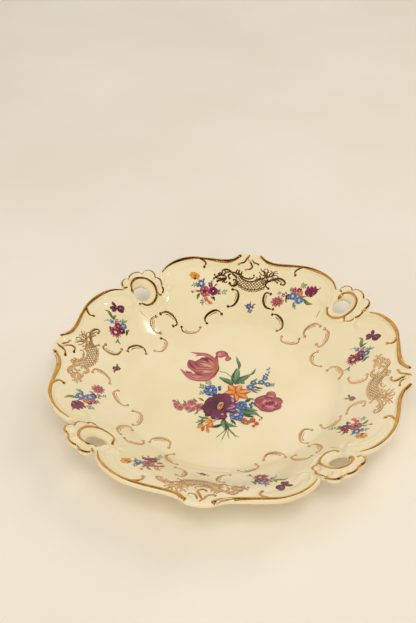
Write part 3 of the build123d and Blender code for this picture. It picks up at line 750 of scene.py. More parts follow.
# cartouche gilding: a crescent of fine diagonal trellis framed by rocaille curls, plumes and leaves
cartouche = dict(
    lower=[(-10.4, 123.6), (-9, 120.6), (-6, 118.5), (-3, 117.2), (0, 116.4), (3.5, 115.9), (7, 116.2),
           (10, 116.4), (13, 117.4), (16.5, 119), (18.6, 121.4)],
    upper=[(17.6, 127), (14, 126.5), (11, 124.9), (7, 123.8), (3, 122.9), (-1, 123.3), (-5, 124.6),
           (-8, 127), (-10.6, 129.4)],
    pitch=1.95, wire=0.37, wireAngles=(38, -44), reach=24.0, frame=0.6, scallop=1.6, hem=0.36,
    bolder=1.6, knobBolder=1.25, curlWidths=[(0, 0.45), (0.3, 1), (0.75, 0.8), (1, 0.5)],
    # each curl: its line, half width, and the radius of the knob at its end
    curls=[
        ([(-14, 129.4), (-10, 128.8), (-7, 127.9), (-4, 126), (0, 125.2), (4, 125.8), (6, 127.4),
          (5.4, 128.8)], 0.6, 0.7),
        ([(8.0, 125.0), (10.8, 125.9), (12, 127.4), (11.0, 128.4)], 0.55, 0.7),
        ([(6.4, 124.2), (8.6, 125.4), (8.4, 126.8)], 0.45, 0.6),
        ([(1, 125.4), (1.8, 126.4)], 0.4, 0.5),
        ([(13.2, 121.6), (13.8, 125.4), (16.4, 127.2), (18.9, 125.2), (18.6, 122.2), (16.2, 121.2),
          (14.6, 122.8), (15.8, 124.8),
          (17.2, 124.0)], 0.42, 0.5),
        ([(19.4, 126), (17.2, 122.8), (18.0, 119.6), (20.6, 117.5)], 0.6, 0.95),
        ([(17, 119.6), (18.5, 122.4), (21.4, 124.2), (25.2, 125.6), (30, 126.2), (34, 124.4), (35.8, 121.8),
          (34.4, 120.3),
          (32, 121.0)], 0.85, 0.95),
        ([(22, 124.6), (25.4, 124.6), (28.4, 122.5)], 0.55, 0.8),
        ([(26, 126.0), (30, 124.0), (32.6, 122.6)], 0.4, 0.4),
        ([(-9.2, 123.4), (-10.0, 120.0), (-12.4, 118.1), (-15.2, 118.1), (-16.6, 119.6)], 0.85, 1.2),
        ([(-9.6, 123.2), (-12.0, 121.0), (-12.6, 119.6)], 0.45, 0.5),
        ([(-10.4, 124.2), (-11.6, 126.2), (-14.6, 128.2), (-15.6, 130)], 0.75, 0.5),
        ([(-10.4, 124.8), (-11.4, 123.4), (-13.2, 123.2)], 0.55, 0.85),
        ([(-16, 127.8), (-18.2, 127.2), (-18.6, 125.2), (-17.2, 123.9)], 0.65, 0.95),
        ([(-12, 130.2), (-16, 129.6), (-19, 131.4), (-22.6, 131.6), (-25.4, 130.0), (-24.6, 128.6)], 0.75,
         0.6),
        ([(-17, 130.4), (-20.6, 129.2), (-23.4, 130.2)], 0.5, 0.4),
        ([(-20.6, 128.2), (-23.2, 127.6), (-22.0, 126.0)], 0.5, 0.6),
        ([(-24, 126.6), (-26.6, 127.6), (-28.2, 126.4)], 0.7, 0.8),
        ([(-21, 125.0), (-25.4, 125.8), (-29.4, 123.8), (-32, 121.4)], 0.75, 0.9),
        ([(-24.6, 123.4), (-28.0, 122.0), (-30.4, 123.2), (-31.8, 125.0)], 0.55, 0.8),
        ([(-22, 124), (-25, 121.6), (-28.4, 119.6)], 0.75, 1.0),
        ([(-20, 124.6), (-23.4, 121.6), (-21.4, 119.8), (-19.4, 120.4)], 0.6, 0.6),
        ([(-21, 126), (-20.6, 123.4), (-22.8, 120.2), (-23.6, 119.9)], 0.6, 0.6),
        ([(-8, 127.6), (-11, 129.2), (-11.8, 131.4), (-10.6, 132.6)], 0.6, 0.7),
        ([(-7.6, 127.8), (-9.4, 130.4), (-8.8, 132.2)], 0.7, 0.7),
        ([(-7.4, 127.8), (-6.6, 129.6), (-6.4, 131.0)], 0.7, 0.7),
        ([(19.4, 126.4), (17.6, 130.4), (18.6, 133.6), (17.4, 135.6)], 0.6, 0.6),
        ([(19.2, 126.8), (16.0, 129.6), (14.6, 132.4), (12.6, 133.6), (11.4, 135.2)], 0.55, 0.6),
        ([(18.6, 127.0), (14.8, 129.0), (12.4, 129.8), (10.6, 131.8)], 0.4, 0.6),
        ([(16.8, 131.0), (14.4, 133.8), (15.4, 135.6)], 0.4, 0.55),
        ([(20, 126.6), (20.4, 130.0), (22.4, 132.0), (21.4, 134.0)], 0.55, 0.6),
        ([(20.4, 127), (23.4, 129.8), (24.0, 132.4), (26.8, 134.0)], 0.5, 0.6),
        ([(21.4, 127.0), (24.2, 129.0), (27.0, 129.2), (28.6, 127.8)], 0.4, 0.6),
        ([(18.2, 129.0), (16.8, 131.6), (19.6, 132.2)], 0.3, 0.5),
        ([(22.6, 129.0), (25.4, 131.2), (27.6, 131.4)], 0.3, 0.5),
        ([(22.0, 126.2), (24.4, 127.0), (25.4, 126.6)], 0.4, 0.4),
    ],
    slips=dict(north=(0.0, 0.0), east=(0.0, 0.2), south=(0.0, 2.6), west=(-3.0, 0.4)),
)


def inside(points, outline):
    x, y = points.T
    within = np.zeros(len(points), bool)
    for (ax, ay), (bx, by) in zip(outline, np.roll(outline, -1, axis=0)):
        crosses = (ay > y) != (by > y)
        within ^= crosses & (x < ax + (y - ay) * (bx - ax) / (by - ay + 1e-12))
    return within


def trellis(bm, outline, quarter):
    pitch, reach = cartouche["pitch"], cartouche["reach"]
    for angle in map(radians, cartouche["wireAngles"]):
        run, step = np.array([cos(angle), sin(angle)]), np.array([-sin(angle), cos(angle)])
        middle = outline.mean(axis=0)
        for k in range(-int(reach / pitch), int(reach / pitch) + 1):
            line = middle + step * k * pitch + run * np.arange(-reach, reach, 0.4)[:, None]
            kept = inside(line, outline).astype(int)
            edges = np.flatnonzero(np.diff(np.r_[0, kept, 0]))
            for start, end in zip(edges[::2], edges[1::2]):
                if end - start > 2:
                    part = evenSteps(line[start:end], 1.2)
                    stroke(bm, turned(part, quarter), cartouche["wire"], [(0, 1), (1, 1)], 0.03, 0.04,
                           across=4)


for quarter, quarterName in enumerate(quarters):
    bm = bmesh.new()
    slip = np.array(cartouche["slips"][quarterName])
    lower = smoothLine(cartouche["lower"], 0.8) + slip
    upper = smoothLine(cartouche["upper"], 0.8) + slip
    trellis(bm, np.vstack([lower, upper]), quarter)
    stroke(bm, turned(lower, quarter), cartouche["frame"], "stem", 0.05, 0.08, across=6)
    stroke(bm, turned(upper, quarter), cartouche["frame"] * 1.2, "stem", 0.05, 0.08, across=6)
    for start in range(2, len(lower) - 5, 4):  # the scalloped hem below the trellis
        first, last = lower[start], lower[start + 4]
        hem = arcThrough(first, (first + last) / 2 - (0, cartouche["scallop"]), last, 0.6)
        stroke(bm, turned(hem, quarter), cartouche["hem"], "stem", 0.05, 0.08, across=6)
    for points, half, knobRadius in cartouche["curls"]:
        line = smoothLine(np.array(points) + slip, 0.7)
        stroke(bm, turned(line, quarter), half * cartouche["bolder"], cartouche["curlWidths"], 0.06, 0.1,
               across=6)
        knob(bm, *turned([line[-1]], quarter)[0], knobRadius * cartouche["knobBolder"], 0.1)
    finished(bm, f"cartoucheGilding_{quarterName}", [f"cartouche_gilding_{quarterName}"], "gilding",
             printedGold)
print("walls and cartouches gilded")

# enamel colours: where a brush stroke starts, where it ends, and its edges
palette = dict(
    rosePetal=("#953947", "#B45D64", "#882E3E"), roseDeep=("#741E34", "#973948", "#67172C"),
    roseLight=("#BE6C6C", "#D29086", "#BC696C"), pinkSpray=("#AC4450", "#D28A82", "#A23A4A"),
    crimson=("#6E1038", "#9A2C58", "#5A0C2E"), crimsonDeep=("#420820", "#6E1036", "#38061C"),
    plum=("#42081E", "#66183A", "#380618"), plumLight=("#8A4874", "#C8A0BC", "#7A3866"),
    plumSoft=("#5C1030", "#7E2C52", "#4E0C26"),
    tulipRed=("#BC6E48", "#A84A5A", "#A04450"), tulipPink=("#B86454", "#BC6270", "#9E3E54"),
    tulipDark=("#8C3440", "#76203A", "#842C40"), tulipPale=("#D49478", "#DCA09C", "#CE8884"),
    orange=("#C8641E", "#E8A23C", "#DC8A34"), orangeRed=("#B8401E", "#DE7040", "#CC5A34"),
    amber=("#D8802C", "#EEB455", "#DE9A40"), rust=("#8A3A14", "#B4622A", "#7C3412"),
    blue=("#2C4A88", "#6288BE", "#24397A"), blueLight=("#4A6CAE", "#8FAAD4", "#5C80BE"),
    blueDeep=("#1C2C62", "#2F4890", "#1A2858"),
    violet=("#2E2A78", "#5A5AA8", "#2A2870"), yellow=("#E0A030", "#F2D070", "#D48A2A"),
    cream=("#F0DCB8", "#F6E8C6", "#EED6AC"),
    leaf=("#3E6240", "#6E9A6A", "#345634"), leafCool=("#365C40", "#7DA680", "#2E4F36"),
    leafDark=("#22341E", "#40603A", "#1E2E1C"),
    olive=("#55662A", "#8C9A48", "#4A5A26"), sage=("#7E8F6C", "#A4AE86", "#7E8F6C"),
    greyGreen=("#62765C", "#94A283", "#62765C"),
    stem=("#4E6238", "#6A7E48", "#46582F"), brown=("#6E4A2C", "#8E6A44", "#60402A"),
)
# spacing along a stroke, height gained with each stroke, height of the first, thickness and unevenness
brushes = dict(step=0.85, layer=0.0016, base=0.03, body=0.03, uneven=(0.88, 1.12))


def toward(degrees):
    return np.array([cos(radians(degrees)), sin(radians(degrees))])


def newSheet(quarter, x, y, turn, seed):  # a print: its mesh, its place on the dish and its painter's hand
    bm = bmesh.new()
    bm.verts.layers.float_color.new("paint")
    bm.loops.layers.uv.new("brush")
    angle = radians(turn)
    spin = np.array([[cos(angle), -sin(angle)], [sin(angle), cos(angle)]])
    return dict(bm=bm, layer=0, hand=np.random.default_rng(seed),
                place=lambda points: turned(np.asarray(points, float) @ spin.T + (x, y), quarter))


def brush(sheet, points, half, colour, shape, bright=1.0):
    points = np.asarray(points, float)
    length = np.hypot(*np.diff(points, axis=0).T).sum()
    line = smoothLine(points, max(length / 16, min(brushes["step"], length / 5)))
    hand = sheet["hand"]
    base, tip, edge = (np.array(linear(tone)[:3]) for tone in palette[colour])
    paint = dict(base=base, tip=tip, edge=edge, bright=bright * hand.uniform(*brushes["uneven"]),
                 phase=hand.uniform(0, 90))
    sheet["layer"] += 1
    stroke(sheet["bm"], sheet["place"](line), half, shape,
           brushes["base"] + brushes["layer"] * sheet["layer"],
           brushes["body"], 12 if half > 1.6 else 8, paint)


def spot(sheet, x, y, radius, colour, flat=1.0, turn=0.0, bright=1.0):
    c, s = cos(radians(turn)) * radius, sin(radians(turn)) * radius
    brush(sheet, [(x - c, y - s), (x, y), (x + c, y + s)], radius * flat, colour, "round", bright)


def ringOf(sheet, x, y, inner, outer, count, half, colour, turn, shape="petal", flat=1.0, lean=0.0):
    for k in range(count):
        angle = radians(turn + 360.0 * k / count) + sheet["hand"].uniform(-0.08, 0.08)
        reach = outer * sheet["hand"].uniform(0.92, 1.06)
        way, off = np.array([cos(angle), sin(angle) * flat]), np.array([-sin(angle), cos(angle) * flat])
        start, end = np.array([x, y]) + way * inner, np.array([x, y]) + way * reach
        brush(sheet, [start, (start + end) / 2 + off * lean * outer, end], half, colour, shape)


def blueDaisy(sheet, x, y, r, eye, petals, flat, turn):
    ringOf(sheet, x, y, 0.12 * r, r, petals, 0.42 * r, "blue", turn, flat=flat)
    ringOf(sheet, x, y, 0.45 * r, 0.92 * r, petals, 0.16 * r, "blueLight", turn + 8, flat=flat)
    spot(sheet, x, y, 0.34 * r, "cream")
    spot(sheet, x, y, 0.26 * r, eye)


def rose(sheet, x, y, r, turn):
    ringOf(sheet, x, y, 0.3 * r, r, 7, 0.4 * r, "rosePetal", turn, "fat")
    ringOf(sheet, x, y, 0.15 * r, 0.72 * r, 5, 0.32 * r, "roseLight", turn + 25, "fat", lean=0.1)
    ringOf(sheet, x, y, 0.05 * r, 0.58 * r, 5, 0.24 * r, "roseDeep", turn + 60, "fat", lean=0.16)
    spot(sheet, x, y, 0.22 * r, "roseDeep", bright=0.7)
    for k in range(4):
        angle = radians(turn + 90 * k)
        arc = [(x + 0.42 * r * cos(angle + a), y + 0.42 * r * sin(angle + a)) for a in (0, 0.5, 1.0)]
        brush(sheet, arc, 0.07 * r, "roseLight", "leaf")


def aster(sheet, x, y, r, turn):
    ringOf(sheet, x, y, 0.2 * r, r, 13, 0.14 * r, "pinkSpray", turn, "leaf")
    ringOf(sheet, x, y, 0.15 * r, 0.72 * r, 9, 0.15 * r, "crimson", turn + 14, "leaf")
    spot(sheet, x, y, 0.2 * r, "cream")
    spot(sheet, x, y, 0.13 * r, "orange")


def leaf(sheet, points, half, colour):
    brush(sheet, points, half, colour, "leaf")
    if half > 0.9:
        inner = smoothLine(points, 1.0)
        if half > 1.8:  # one side of a broad leaf lies in shade
            shade = parallel(inner, 0.45 * half)
            brush(sheet, shade[1:-1:max(1, len(shade) // 5)], 0.4 * half, "leafDark", "leaf")
        vein = inner[1:-1:max(1, len(inner) // 4)] if len(inner) > 6 else inner
        brush(sheet, vein, 0.16 * half + 0.05, "sage", "leaf")


def stalk(sheet, points, half, colour="stem"):
    brush(sheet, points, half, colour, "stem")


def twigs(sheet, x, y, turn, length, colour="greyGreen", count=4):
    way, off = toward(turn), toward(turn + 90)
    start = np.array([x, y])
    stalk(sheet, [start, start + way * length * 0.5 + off * 0.3, start + way * length], 0.2, colour)
    for k in range(count):
        foot = start + way * length * (0.25 + 0.7 * k / count)
        lean = off * (0.34 if k % 2 else -0.34) * length
        brush(sheet, [foot, foot + lean * 0.6 + way * 0.12 * length, foot + lean + way * 0.3 * length],
              0.11 * length, colour, "leaf")


def posy(sheet):
    leaf(sheet, [(-5, -3), (-6.4, -5.6), (-6.8, -9.4)], 1.3, "olive")
    leaf(sheet, [(-4, -1), (-7, -1.6), (-10, -1.4)], 0.9, "olive")
    leaf(sheet, [(-3.6, 7), (-3.4, 9.4), (-2.2, 11.2)], 0.9, "olive")
    leaf(sheet, [(-7, 2), (-9.4, 3.6), (-9.4, 6.6)], 1.1, "greyGreen")
    twigs(sheet, -8, 2.6, 175, 5.5)
    leaf(sheet, [(10, 1), (12.4, 2.8), (13.6, 4.6)], 1.3, "leafCool")
    leaf(sheet, [(11, 0), (13.8, 0.6), (14.6, 1.4)], 0.8, "leafCool")
    twigs(sheet, 13.6, 2.4, 4, 6.5, "sage")
    leaf(sheet, [(7, -3), (8.6, -4.6), (9.4, -6.8)], 1.1, "leafDark")
    leaf(sheet, [(5, -3.6), (7.2, -4.8), (7.6, -6.0)], 0.8, "olive")
    leaf(sheet, [(3.4, 8), (4.6, 9.8), (6.4, 10.2)], 0.8, "sage")
    leaf(sheet, [(7.4, 6), (8.8, 7.4), (10.6, 8.0)], 0.8, "olive")
    twigs(sheet, -1.6, -7, 262, 5.4)
    stalk(sheet, [(-2, -4), (-1.4, -8), (2.6, -11.2), (5, -11)], 0.16, "greyGreen")
    stalk(sheet, [(-6.4, -1.4), (-10, -3.2), (-14, -3)], 0.16)
    spot(sheet, -12.0, -3.6, 1.3, "orangeRed", 0.8)
    ringOf(sheet, -12.0, 11.0, 0.3, 5.4, 8, 1.5, "orange", 10, flat=0.78)
    ringOf(sheet, -12.0, 11.2, 0.3, 3.8, 6, 1.0, "amber", 35, flat=0.78)
    ringOf(sheet, -11.6, 10.8, 0.2, 2.6, 5, 0.5, "orangeRed", -40, "leaf", 0.8)
    spot(sheet, -11.8, 11.0, 0.8, "rust")
    leaf(sheet, [(-11.6, 10), (-11.4, 8.4), (-10.6, 7.4)], 1.2, "leafDark")
    blueDaisy(sheet, -5.0, 5.6, 3.9, "yellow", 5, 1.0, 70)
    ringOf(sheet, -7.2, 3.4, 0.3, 2.0, 3, 0.8, "blueDeep", 120)
    rose(sheet, -1.0, -0.4, 5.2, 20)
    spot(sheet, 2.9, -2.2, 1.9, "roseLight", 0.8)
    spot(sheet, 3.2, -0.8, 1.3, "roseDeep", 0.7)
    ringOf(sheet, 7.0, 1.6, 0.5, 4.4, 6, 1.75, "crimson", 30)
    ringOf(sheet, 7.0, 1.6, 0.4, 2.6, 5, 0.8, "crimsonDeep", 60)
    ringOf(sheet, 7.2, 1.8, 1.2, 2.3, 5, 0.3, "roseLight", 20)
    ringOf(sheet, 3.6, 6.4, 0.2, 2.6, 4, 1.1, "crimson", 60)
    spot(sheet, 3.6, 6.6, 0.8, "roseLight", 0.6)
    ringOf(sheet, 1.4, -6.6, 0.2, 2.4, 4, 1.0, "orangeRed", 80)
    spot(sheet, 1.2, -6.0, 0.8, "roseLight")
    brush(sheet, [(2.4, -7.4), (5, -8.8), (8.2, -9.2)], 1.35, "orangeRed", "fat", 1.25)


def garland(sheet):
    leaf(sheet, [(-5.6, 5), (-4.6, 7.4), (-4.4, 9.4)], 1.0, "greyGreen")
    leaf(sheet, [(-8, 3), (-9.4, 4.4), (-9.6, 6)], 0.8, "greyGreen")
    leaf(sheet, [(-9, -0.6), (-8.6, -3), (-7.6, -4.8)], 0.9, "olive")
    twigs(sheet, -13, 3.6, 160, 4.4)
    twigs(sheet, 3.4, 7.4, 45, 6.0, "sage", 5)
    twigs(sheet, 4.6, 8, 8, 5.2, "greyGreen", 4)
    twigs(sheet, 0, -5, 262, 5.4, "greyGreen", 4)
    leaf(sheet, [(0, -4), (-1.6, -6.8), (1.4, -9)], 0.8, "leafCool")
    leaf(sheet, [(7.4, -2.4), (9.6, -5.4), (12, -7.6), (17, -8.8)], 1.45, "olive")
    leaf(sheet, [(5, 0), (7, -0.8), (10.4, -0.6)], 0.7, "leaf")
    stalk(sheet, [(6, -1.4), (9, -1), (12, -0.4), (14, -1.6)], 0.22, "olive")
    ringOf(sheet, -16.6, -3.0, 0.9, 6.6, 10, 1.15, "pinkSpray", -30, "fat", 0.78)
    ringOf(sheet, -16.6, -3.0, 0.4, 4.4, 7, 0.9, "roseDeep", 10, "fat", 0.78)
    ringOf(sheet, -16.6, -3.0, 0.3, 3.0, 5, 0.62, "roseLight", 40, "fat", 0.8)
    spot(sheet, -16.6, -3.0, 0.7, "roseDeep")
    ringOf(sheet, -11.6, 2.4, 0.2, 2.0, 4, 0.75, "crimson", 30)
    ringOf(sheet, -7.2, 0.6, 0.2, 2.9, 5, 1.05, "crimsonDeep", 10)
    spot(sheet, -7.0, 1.4, 0.7, "roseLight", 0.7)
    ringOf(sheet, -1.4, 5.4, 0.4, 3.2, 6, 1.25, "pinkSpray", 20)
    ringOf(sheet, -1.4, 5.4, 0.2, 1.8, 4, 0.7, "crimson", 50)
    ringOf(sheet, 3.2, 5.0, 0.3, 2.8, 5, 1.15, "crimson", 40)
    ringOf(sheet, 4.0, 2.2, 0.3, 3.0, 6, 1.25, "orangeRed", 0)
    ringOf(sheet, 4.0, 2.2, 0.2, 2.0, 4, 0.8, "orange", 30)
    blueDaisy(sheet, -2.7, 0.8, 4.5, "yellow", 6, 0.86, 15)
    blueDaisy(sheet, 3.7, -3.4, 4.5, "yellow", 6, 0.84, 40)
    for tip, half, colour in (((8.8, 5), 1.6, "plumSoft"), ((19.6, 5.4), 1.5, "plumSoft"),
                              ((10.8, 8.8), 1.7, "crimson"),
                              ((17.6, 8.4), 1.7, "crimson"), ((14.2, 8.6), 1.9, "plumSoft")):
        brush(sheet, [(14.2, -2.4), ((14.2 + tip[0]) / 2 + (tip[0] - 14.2) * 0.28, 2.2), tip], half, colour,
              "petal")
    brush(sheet, [(14.0, -2.6), (11.6, 0.6), (10.2, 3.8)], 0.55, "roseLight", "leaf")
    brush(sheet, [(15.0, -2.2), (16.2, 0.6), (15.8, 3.4)], 0.7, "plumLight", "leaf")
    brush(sheet, [(18.0, 3), (20.6, 4.2), (23.0, 5.6)], 0.6, "crimson", "leaf")


def nosegay(sheet):
    leaf(sheet, [(3, 3), (6.2, 6.6), (9.2, 9.6), (8.6, 13.4)], 1.4, "olive")
    leaf(sheet, [(3.6, 2.6), (6.4, 3.6), (9.2, 1.8)], 0.95, "olive")
    leaf(sheet, [(2.6, 1), (4.8, 1.2), (5.6, -0.8)], 0.8, "leafCool")
    leaf(sheet, [(-13, -3.6), (-15.6, -4.4), (-17.2, -7.4)], 0.95, "greyGreen")
    leaf(sheet, [(-14, -4), (-16.8, -3.4), (-19, -2.6)], 0.7, "greyGreen")
    leaf(sheet, [(0, -8.6), (-3.4, -9.6), (-6.4, -9.4)], 1.0, "leafDark")
    leaf(sheet, [(-2, -8.4), (-0.4, -10.2), (1.6, -10.6)], 0.8, "leaf")
    leaf(sheet, [(3.6, -3.6), (6.6, -4), (8.8, -3.0)], 0.8, "olive")
    leaf(sheet, [(4.4, -4.4), (7, -6), (9.6, -7.6)], 0.8, "greyGreen")
    leaf(sheet, [(3.4, -1.2), (5, -2.2), (6.8, -1.8)], 0.7, "leafCool")
    stalk(sheet, [(0.6, 3), (0, 7), (-1.4, 10), (-3.4, 10.6)], 0.24, "greyGreen")
    ringOf(sheet, 0.6, 4.6, 0.2, 2.5, 5, 0.85, "blueLight", 40)
    spot(sheet, 0.6, 3.8, 0.9, "blue")
    brush(sheet, [(0.2, 7.0), (0.8, 8.4), (1.6, 9)], 0.5, "blueLight", "leaf")
    aster(sheet, -7.8, -0.6, 6.4, 30)
    ringOf(sheet, -6.6, 3.2, 0.2, 2.8, 4, 1.0, "crimson", 60)
    ringOf(sheet, -3.4, -5.0, 0.4, 3.6, 6, 1.35, "crimsonDeep", 20)
    ringOf(sheet, -0.8, -1.4, 0.5, 3.8, 6, 1.5, "crimson", 0)
    spot(sheet, -0.8, -1.4, 1.1, "roseLight")
    spot(sheet, -0.8, -1.4, 0.7, "orangeRed")
    ringOf(sheet, 2.9, 0.8, 0.2, 2.0, 4, 0.8, "pinkSpray", 30)
    blueDaisy(sheet, 1.7, -5.4, 3.4, "orange", 5, 0.9, 50)
    for base, tip, half in (((16, 3), (13.0, 9.4), 2.0), ((16, 3), (10.4, 6.2), 1.8),
                            ((16.4, 3.4), (20.4, 9.0), 1.5)):
        brush(sheet, [base, ((base[0] + tip[0]) / 2, (base[1] + tip[1]) / 2 + 0.4), tip], half, "plumSoft",
              "petal")
    brush(sheet, [(15.6, 3.4), (17.4, 0.4), (20.2, -2.4)], 2.8, "plumSoft", "fat")
    brush(sheet, [(15.2, 3.0), (14.6, -0.2), (16.4, -3.2)], 1.6, "plum", "fat")
    spot(sheet, 16.8, 1.0, 1.3, "plumLight", 0.7, -50)
    spot(sheet, 12.6, 5.4, 0.7, "plumLight", 0.7)
    spot(sheet, 14.2, 6.8, 0.7, "plumLight", 0.6, 60)


def sprigNorth(sheet):
    leaf(sheet, [(-1, 1), (-3.6, 1.2), (-5.6, 2.0)], 0.8, "greyGreen")
    leaf(sheet, [(2, 1.4), (4.4, 3.2), (5.4, 2.2)], 0.7, "brown")
    leaf(sheet, [(0, 2), (0.4, 4), (-0.4, 5.4)], 0.6, "greyGreen")
    ringOf(sheet, -0.8, 0.8, 0.3, 3.0, 5, 1.15, "violet", 60)
    ringOf(sheet, 0.6, -3.0, 0.2, 2.4, 4, 1.0, "blue", 200)
    spot(sheet, 2.6, 0.2, 1.5, "brown", 0.8)
    spot(sheet, 1.6, -0.6, 0.9, "cream", 0.7, 50)
    spot(sheet, -0.8, 0.8, 0.6, "yellow")


def sprigEast(sheet):
    ringOf(sheet, 0.6, 0.4, 0.4, 3.6, 6, 1.3, "pinkSpray", 20, flat=0.8)
    ringOf(sheet, 0.6, 0.4, 0.2, 2.2, 4, 0.8, "roseDeep", 50, flat=0.8)
    leaf(sheet, [(-2.4, 0), (-4.6, 1.6), (-6.4, 1.4)], 0.8, "leafDark")
    leaf(sheet, [(-2.2, -1), (-4.6, -1.8), (-6.0, -3.2)], 0.8, "leafCool")


def sprigSouth(sheet):
    leaf(sheet, [(1.4, 0.4), (4, 1.2), (6, 1)], 0.7, "greyGreen")
    ringOf(sheet, 0, 0, 0.3, 3.0, 5, 1.0, "plum", 10, flat=0.8)
    leaf(sheet, [(-1.6, 0), (-4, -1), (-6, -0.6)], 0.7, "brown")


def sprigWest(sheet):
    leaf(sheet, [(-2, 1), (-4.0, 2.4), (-5.6, 2.2)], 0.8, "leaf")
    leaf(sheet, [(2, -1), (4, -1), (5.4, -2.4)], 0.8, "leaf")
    ringOf(sheet, -0.6, 1.0, 0.3, 2.6, 5, 1.1, "crimson", 30)
    ringOf(sheet, 1.0, -1.6, 0.2, 2.4, 5, 1.0, "plumSoft", 60)
    spot(sheet, -0.6, 1.0, 0.5, "roseLight")


# eight flower sprays and four sprigs on the wall: node, print, quarter, place in the north quarter, turn
sprays = [
    ("flower_spray_north_left", posy, 0, -38, 109, 0), ("flower_spray_north_right", garland, 0, 47, 109, 0),
    ("flower_spray_east_left", nosegay, 1, -41.5, 108.5, 131),
    ("flower_spray_east_right", posy, 1, 46.5, 106, -119),
    ("flower_spray_south_left", nosegay, 2, -44, 111, 131),
    ("flower_spray_south_right", posy, 2, 46.5, 106, -116),
    ("flower_spray_west_left", garland, 3, -47.3, 110.4, 155),
    ("flower_spray_west_right", nosegay, 3, 47, 109, 0),
    ("flower_sprig_north", sprigNorth, 0, 5, 101, 0), ("flower_sprig_east", sprigEast, 1, 8, 103, 40),
    ("flower_sprig_south", sprigSouth, 2, 5, 105, -30), ("flower_sprig_west", sprigWest, 3, 3, 99.5, 20),
]


def camelName(nodeName):
    first, *rest = nodeName.split("_")
    return first + "".join(word.capitalize() for word in rest)


for seed, (nodeName, flowers, quarter, x, y, turn) in enumerate(sprays, 11):
    sheet = newSheet(quarter, x, y, turn, seed)
    flowers(sheet)
    finished(sheet["bm"], camelName(nodeName), [nodeName], "rim_enamel")
print("wall flowers painted")


def tulip(sheet):
    stalk(sheet, [(-12.5, 20.4), (-9, 19.0), (-5.6, 18.6), (-2, 15.8), (1.6, 12), (3.6, 8.6)], 0.32, "stem")
    # the petal behind, then the cup, the fallen front petal and the curled one above
    brush(sheet, [(-13.6, 27), (-20, 34.8), (-27, 39.0), (-34, 39.8), (-42, 40.8)], 2.3, "tulipPink",
          "leaf")
    brush(sheet, [(-23, 37.4), (-29, 39.4), (-34, 37.2), (-36.4, 35.4)], 1.7, "tulipPink", "leaf")
    brush(sheet, [(-19, 34.0), (-26, 37.8), (-34, 38.8)], 0.7, "tulipPale", "leaf")
    spot(sheet, -24.4, 22.6, 12.5, "tulipRed", 0.96, 180)
    brush(sheet, [(-14, 19.4), (-24, 18.6), (-33, 21.6), (-40.8, 30.8)], 6.0, "tulipRed", "petal", 1.04)
    brush(sheet, [(-13, 20), (-17, 12.6), (-24, 8.4), (-33, 8.2), (-40, 12.2), (-46.8, 18.8)], 3.4,
          "tulipPink", "leaf")
    brush(sheet, [(-22, 11.0), (-29, 10.4), (-36, 12.0), (-41.4, 17.2)], 2.5, "tulipPink", "leaf")
    brush(sheet, [(-31.2, 13.2), (-35.4, 16.2), (-40.2, 20.4), (-43.4, 20.6)], 0.75, "cream", "leaf")
    for k in range(13):
        way = k / 12
        belly = -29 - 9.6 * sin(pi * way)
        vein = [(-13.8, 24.6 - 5 * way), (-22.6, 32 - 15.6 * way), (belly, 33.6 - 20 * way)]
        brush(sheet, vein, 0.34 if k % 2 else 0.5, "tulipDark" if k % 2 else "tulipPale", "leaf")
    for points, half, colour in (
            ([(-29, 27.4), (-24, 26), (-17.6, 22.8)], 1.7, "tulipPale"),
            ([(-27, 18.4), (-23, 17.6), (-17, 17.8)], 1.1, "tulipPale"),
            ([(-32, 31.6), (-29, 34.4), (-24, 34.8), (-17.6, 31.2)], 0.8, "tulipDark"),
            ([(-28.6, 33.6), (-25.4, 32.6), (-22.6, 28.8)], 1.3, "tulipDark"),
            ([(-40.2, 29.4), (-38.4, 25), (-32, 18.4)], 1.1, "tulipDark"),
            ([(-36.4, 29.4), (-32.6, 25), (-27, 21.6)], 0.7, "tulipDark"),
            ([(-31, 15.4), (-28.4, 13.6), (-24.8, 13.2)], 1.0, "tulipDark"),
            ([(-40.6, 13.6), (-37.6, 14.8), (-34.4, 14.6)], 0.8, "tulipDark"),
            ([(-18, 10.6), (-24, 7.6), (-32, 6.6), (-38, 9.0)], 0.6, "tulipPale"),
            ([(-24, 11.4), (-30, 9.6), (-36, 10.4)], 0.7, "tulipPale"),
            ([(-13, 26.6), (-12.6, 21.6), (-14.6, 15.4), (-19, 10)], 0.7, "tulipDark")):
        brush(sheet, points, half, colour, "leaf")
    brush(sheet, [(-14.2, 28), (-16, 33), (-17.2, 39.6)], 1.5, "tulipRed", "fat")
    spot(sheet, -13.2, 41.8, 5.1, "tulipPink", 0.84, 60)
    brush(sheet, [(-11.8, 45.6), (-9.4, 43.6), (-8.0, 40.6), (-5.2, 38.4)], 1.7, "tulipRed", "fat")
    spot(sheet, -6.4, 36.4, 3.3, "tulipPink", 0.74, 75)
    spot(sheet, -14.6, 41.2, 2.6, "tulipPale", 0.7, 80)
    spot(sheet, -6.9, 35.9, 1.5, "tulipPale", 0.66, 75)
    for points, half in (([(-17.2, 35.4), (-17.0, 38), (-16.2, 39.8)], 0.9),
                         ([(-11, 45.8), (-9, 43.2), (-7.6, 40.6)], 0.8),
                         ([(-17.9, 40), (-17.4, 43.6), (-14, 46.3)], 0.45),
                         ([(-5.0, 39.2), (-4.0, 36.8), (-5.2, 34)], 0.5)):
        brush(sheet, points, half, "tulipDark", "leaf")


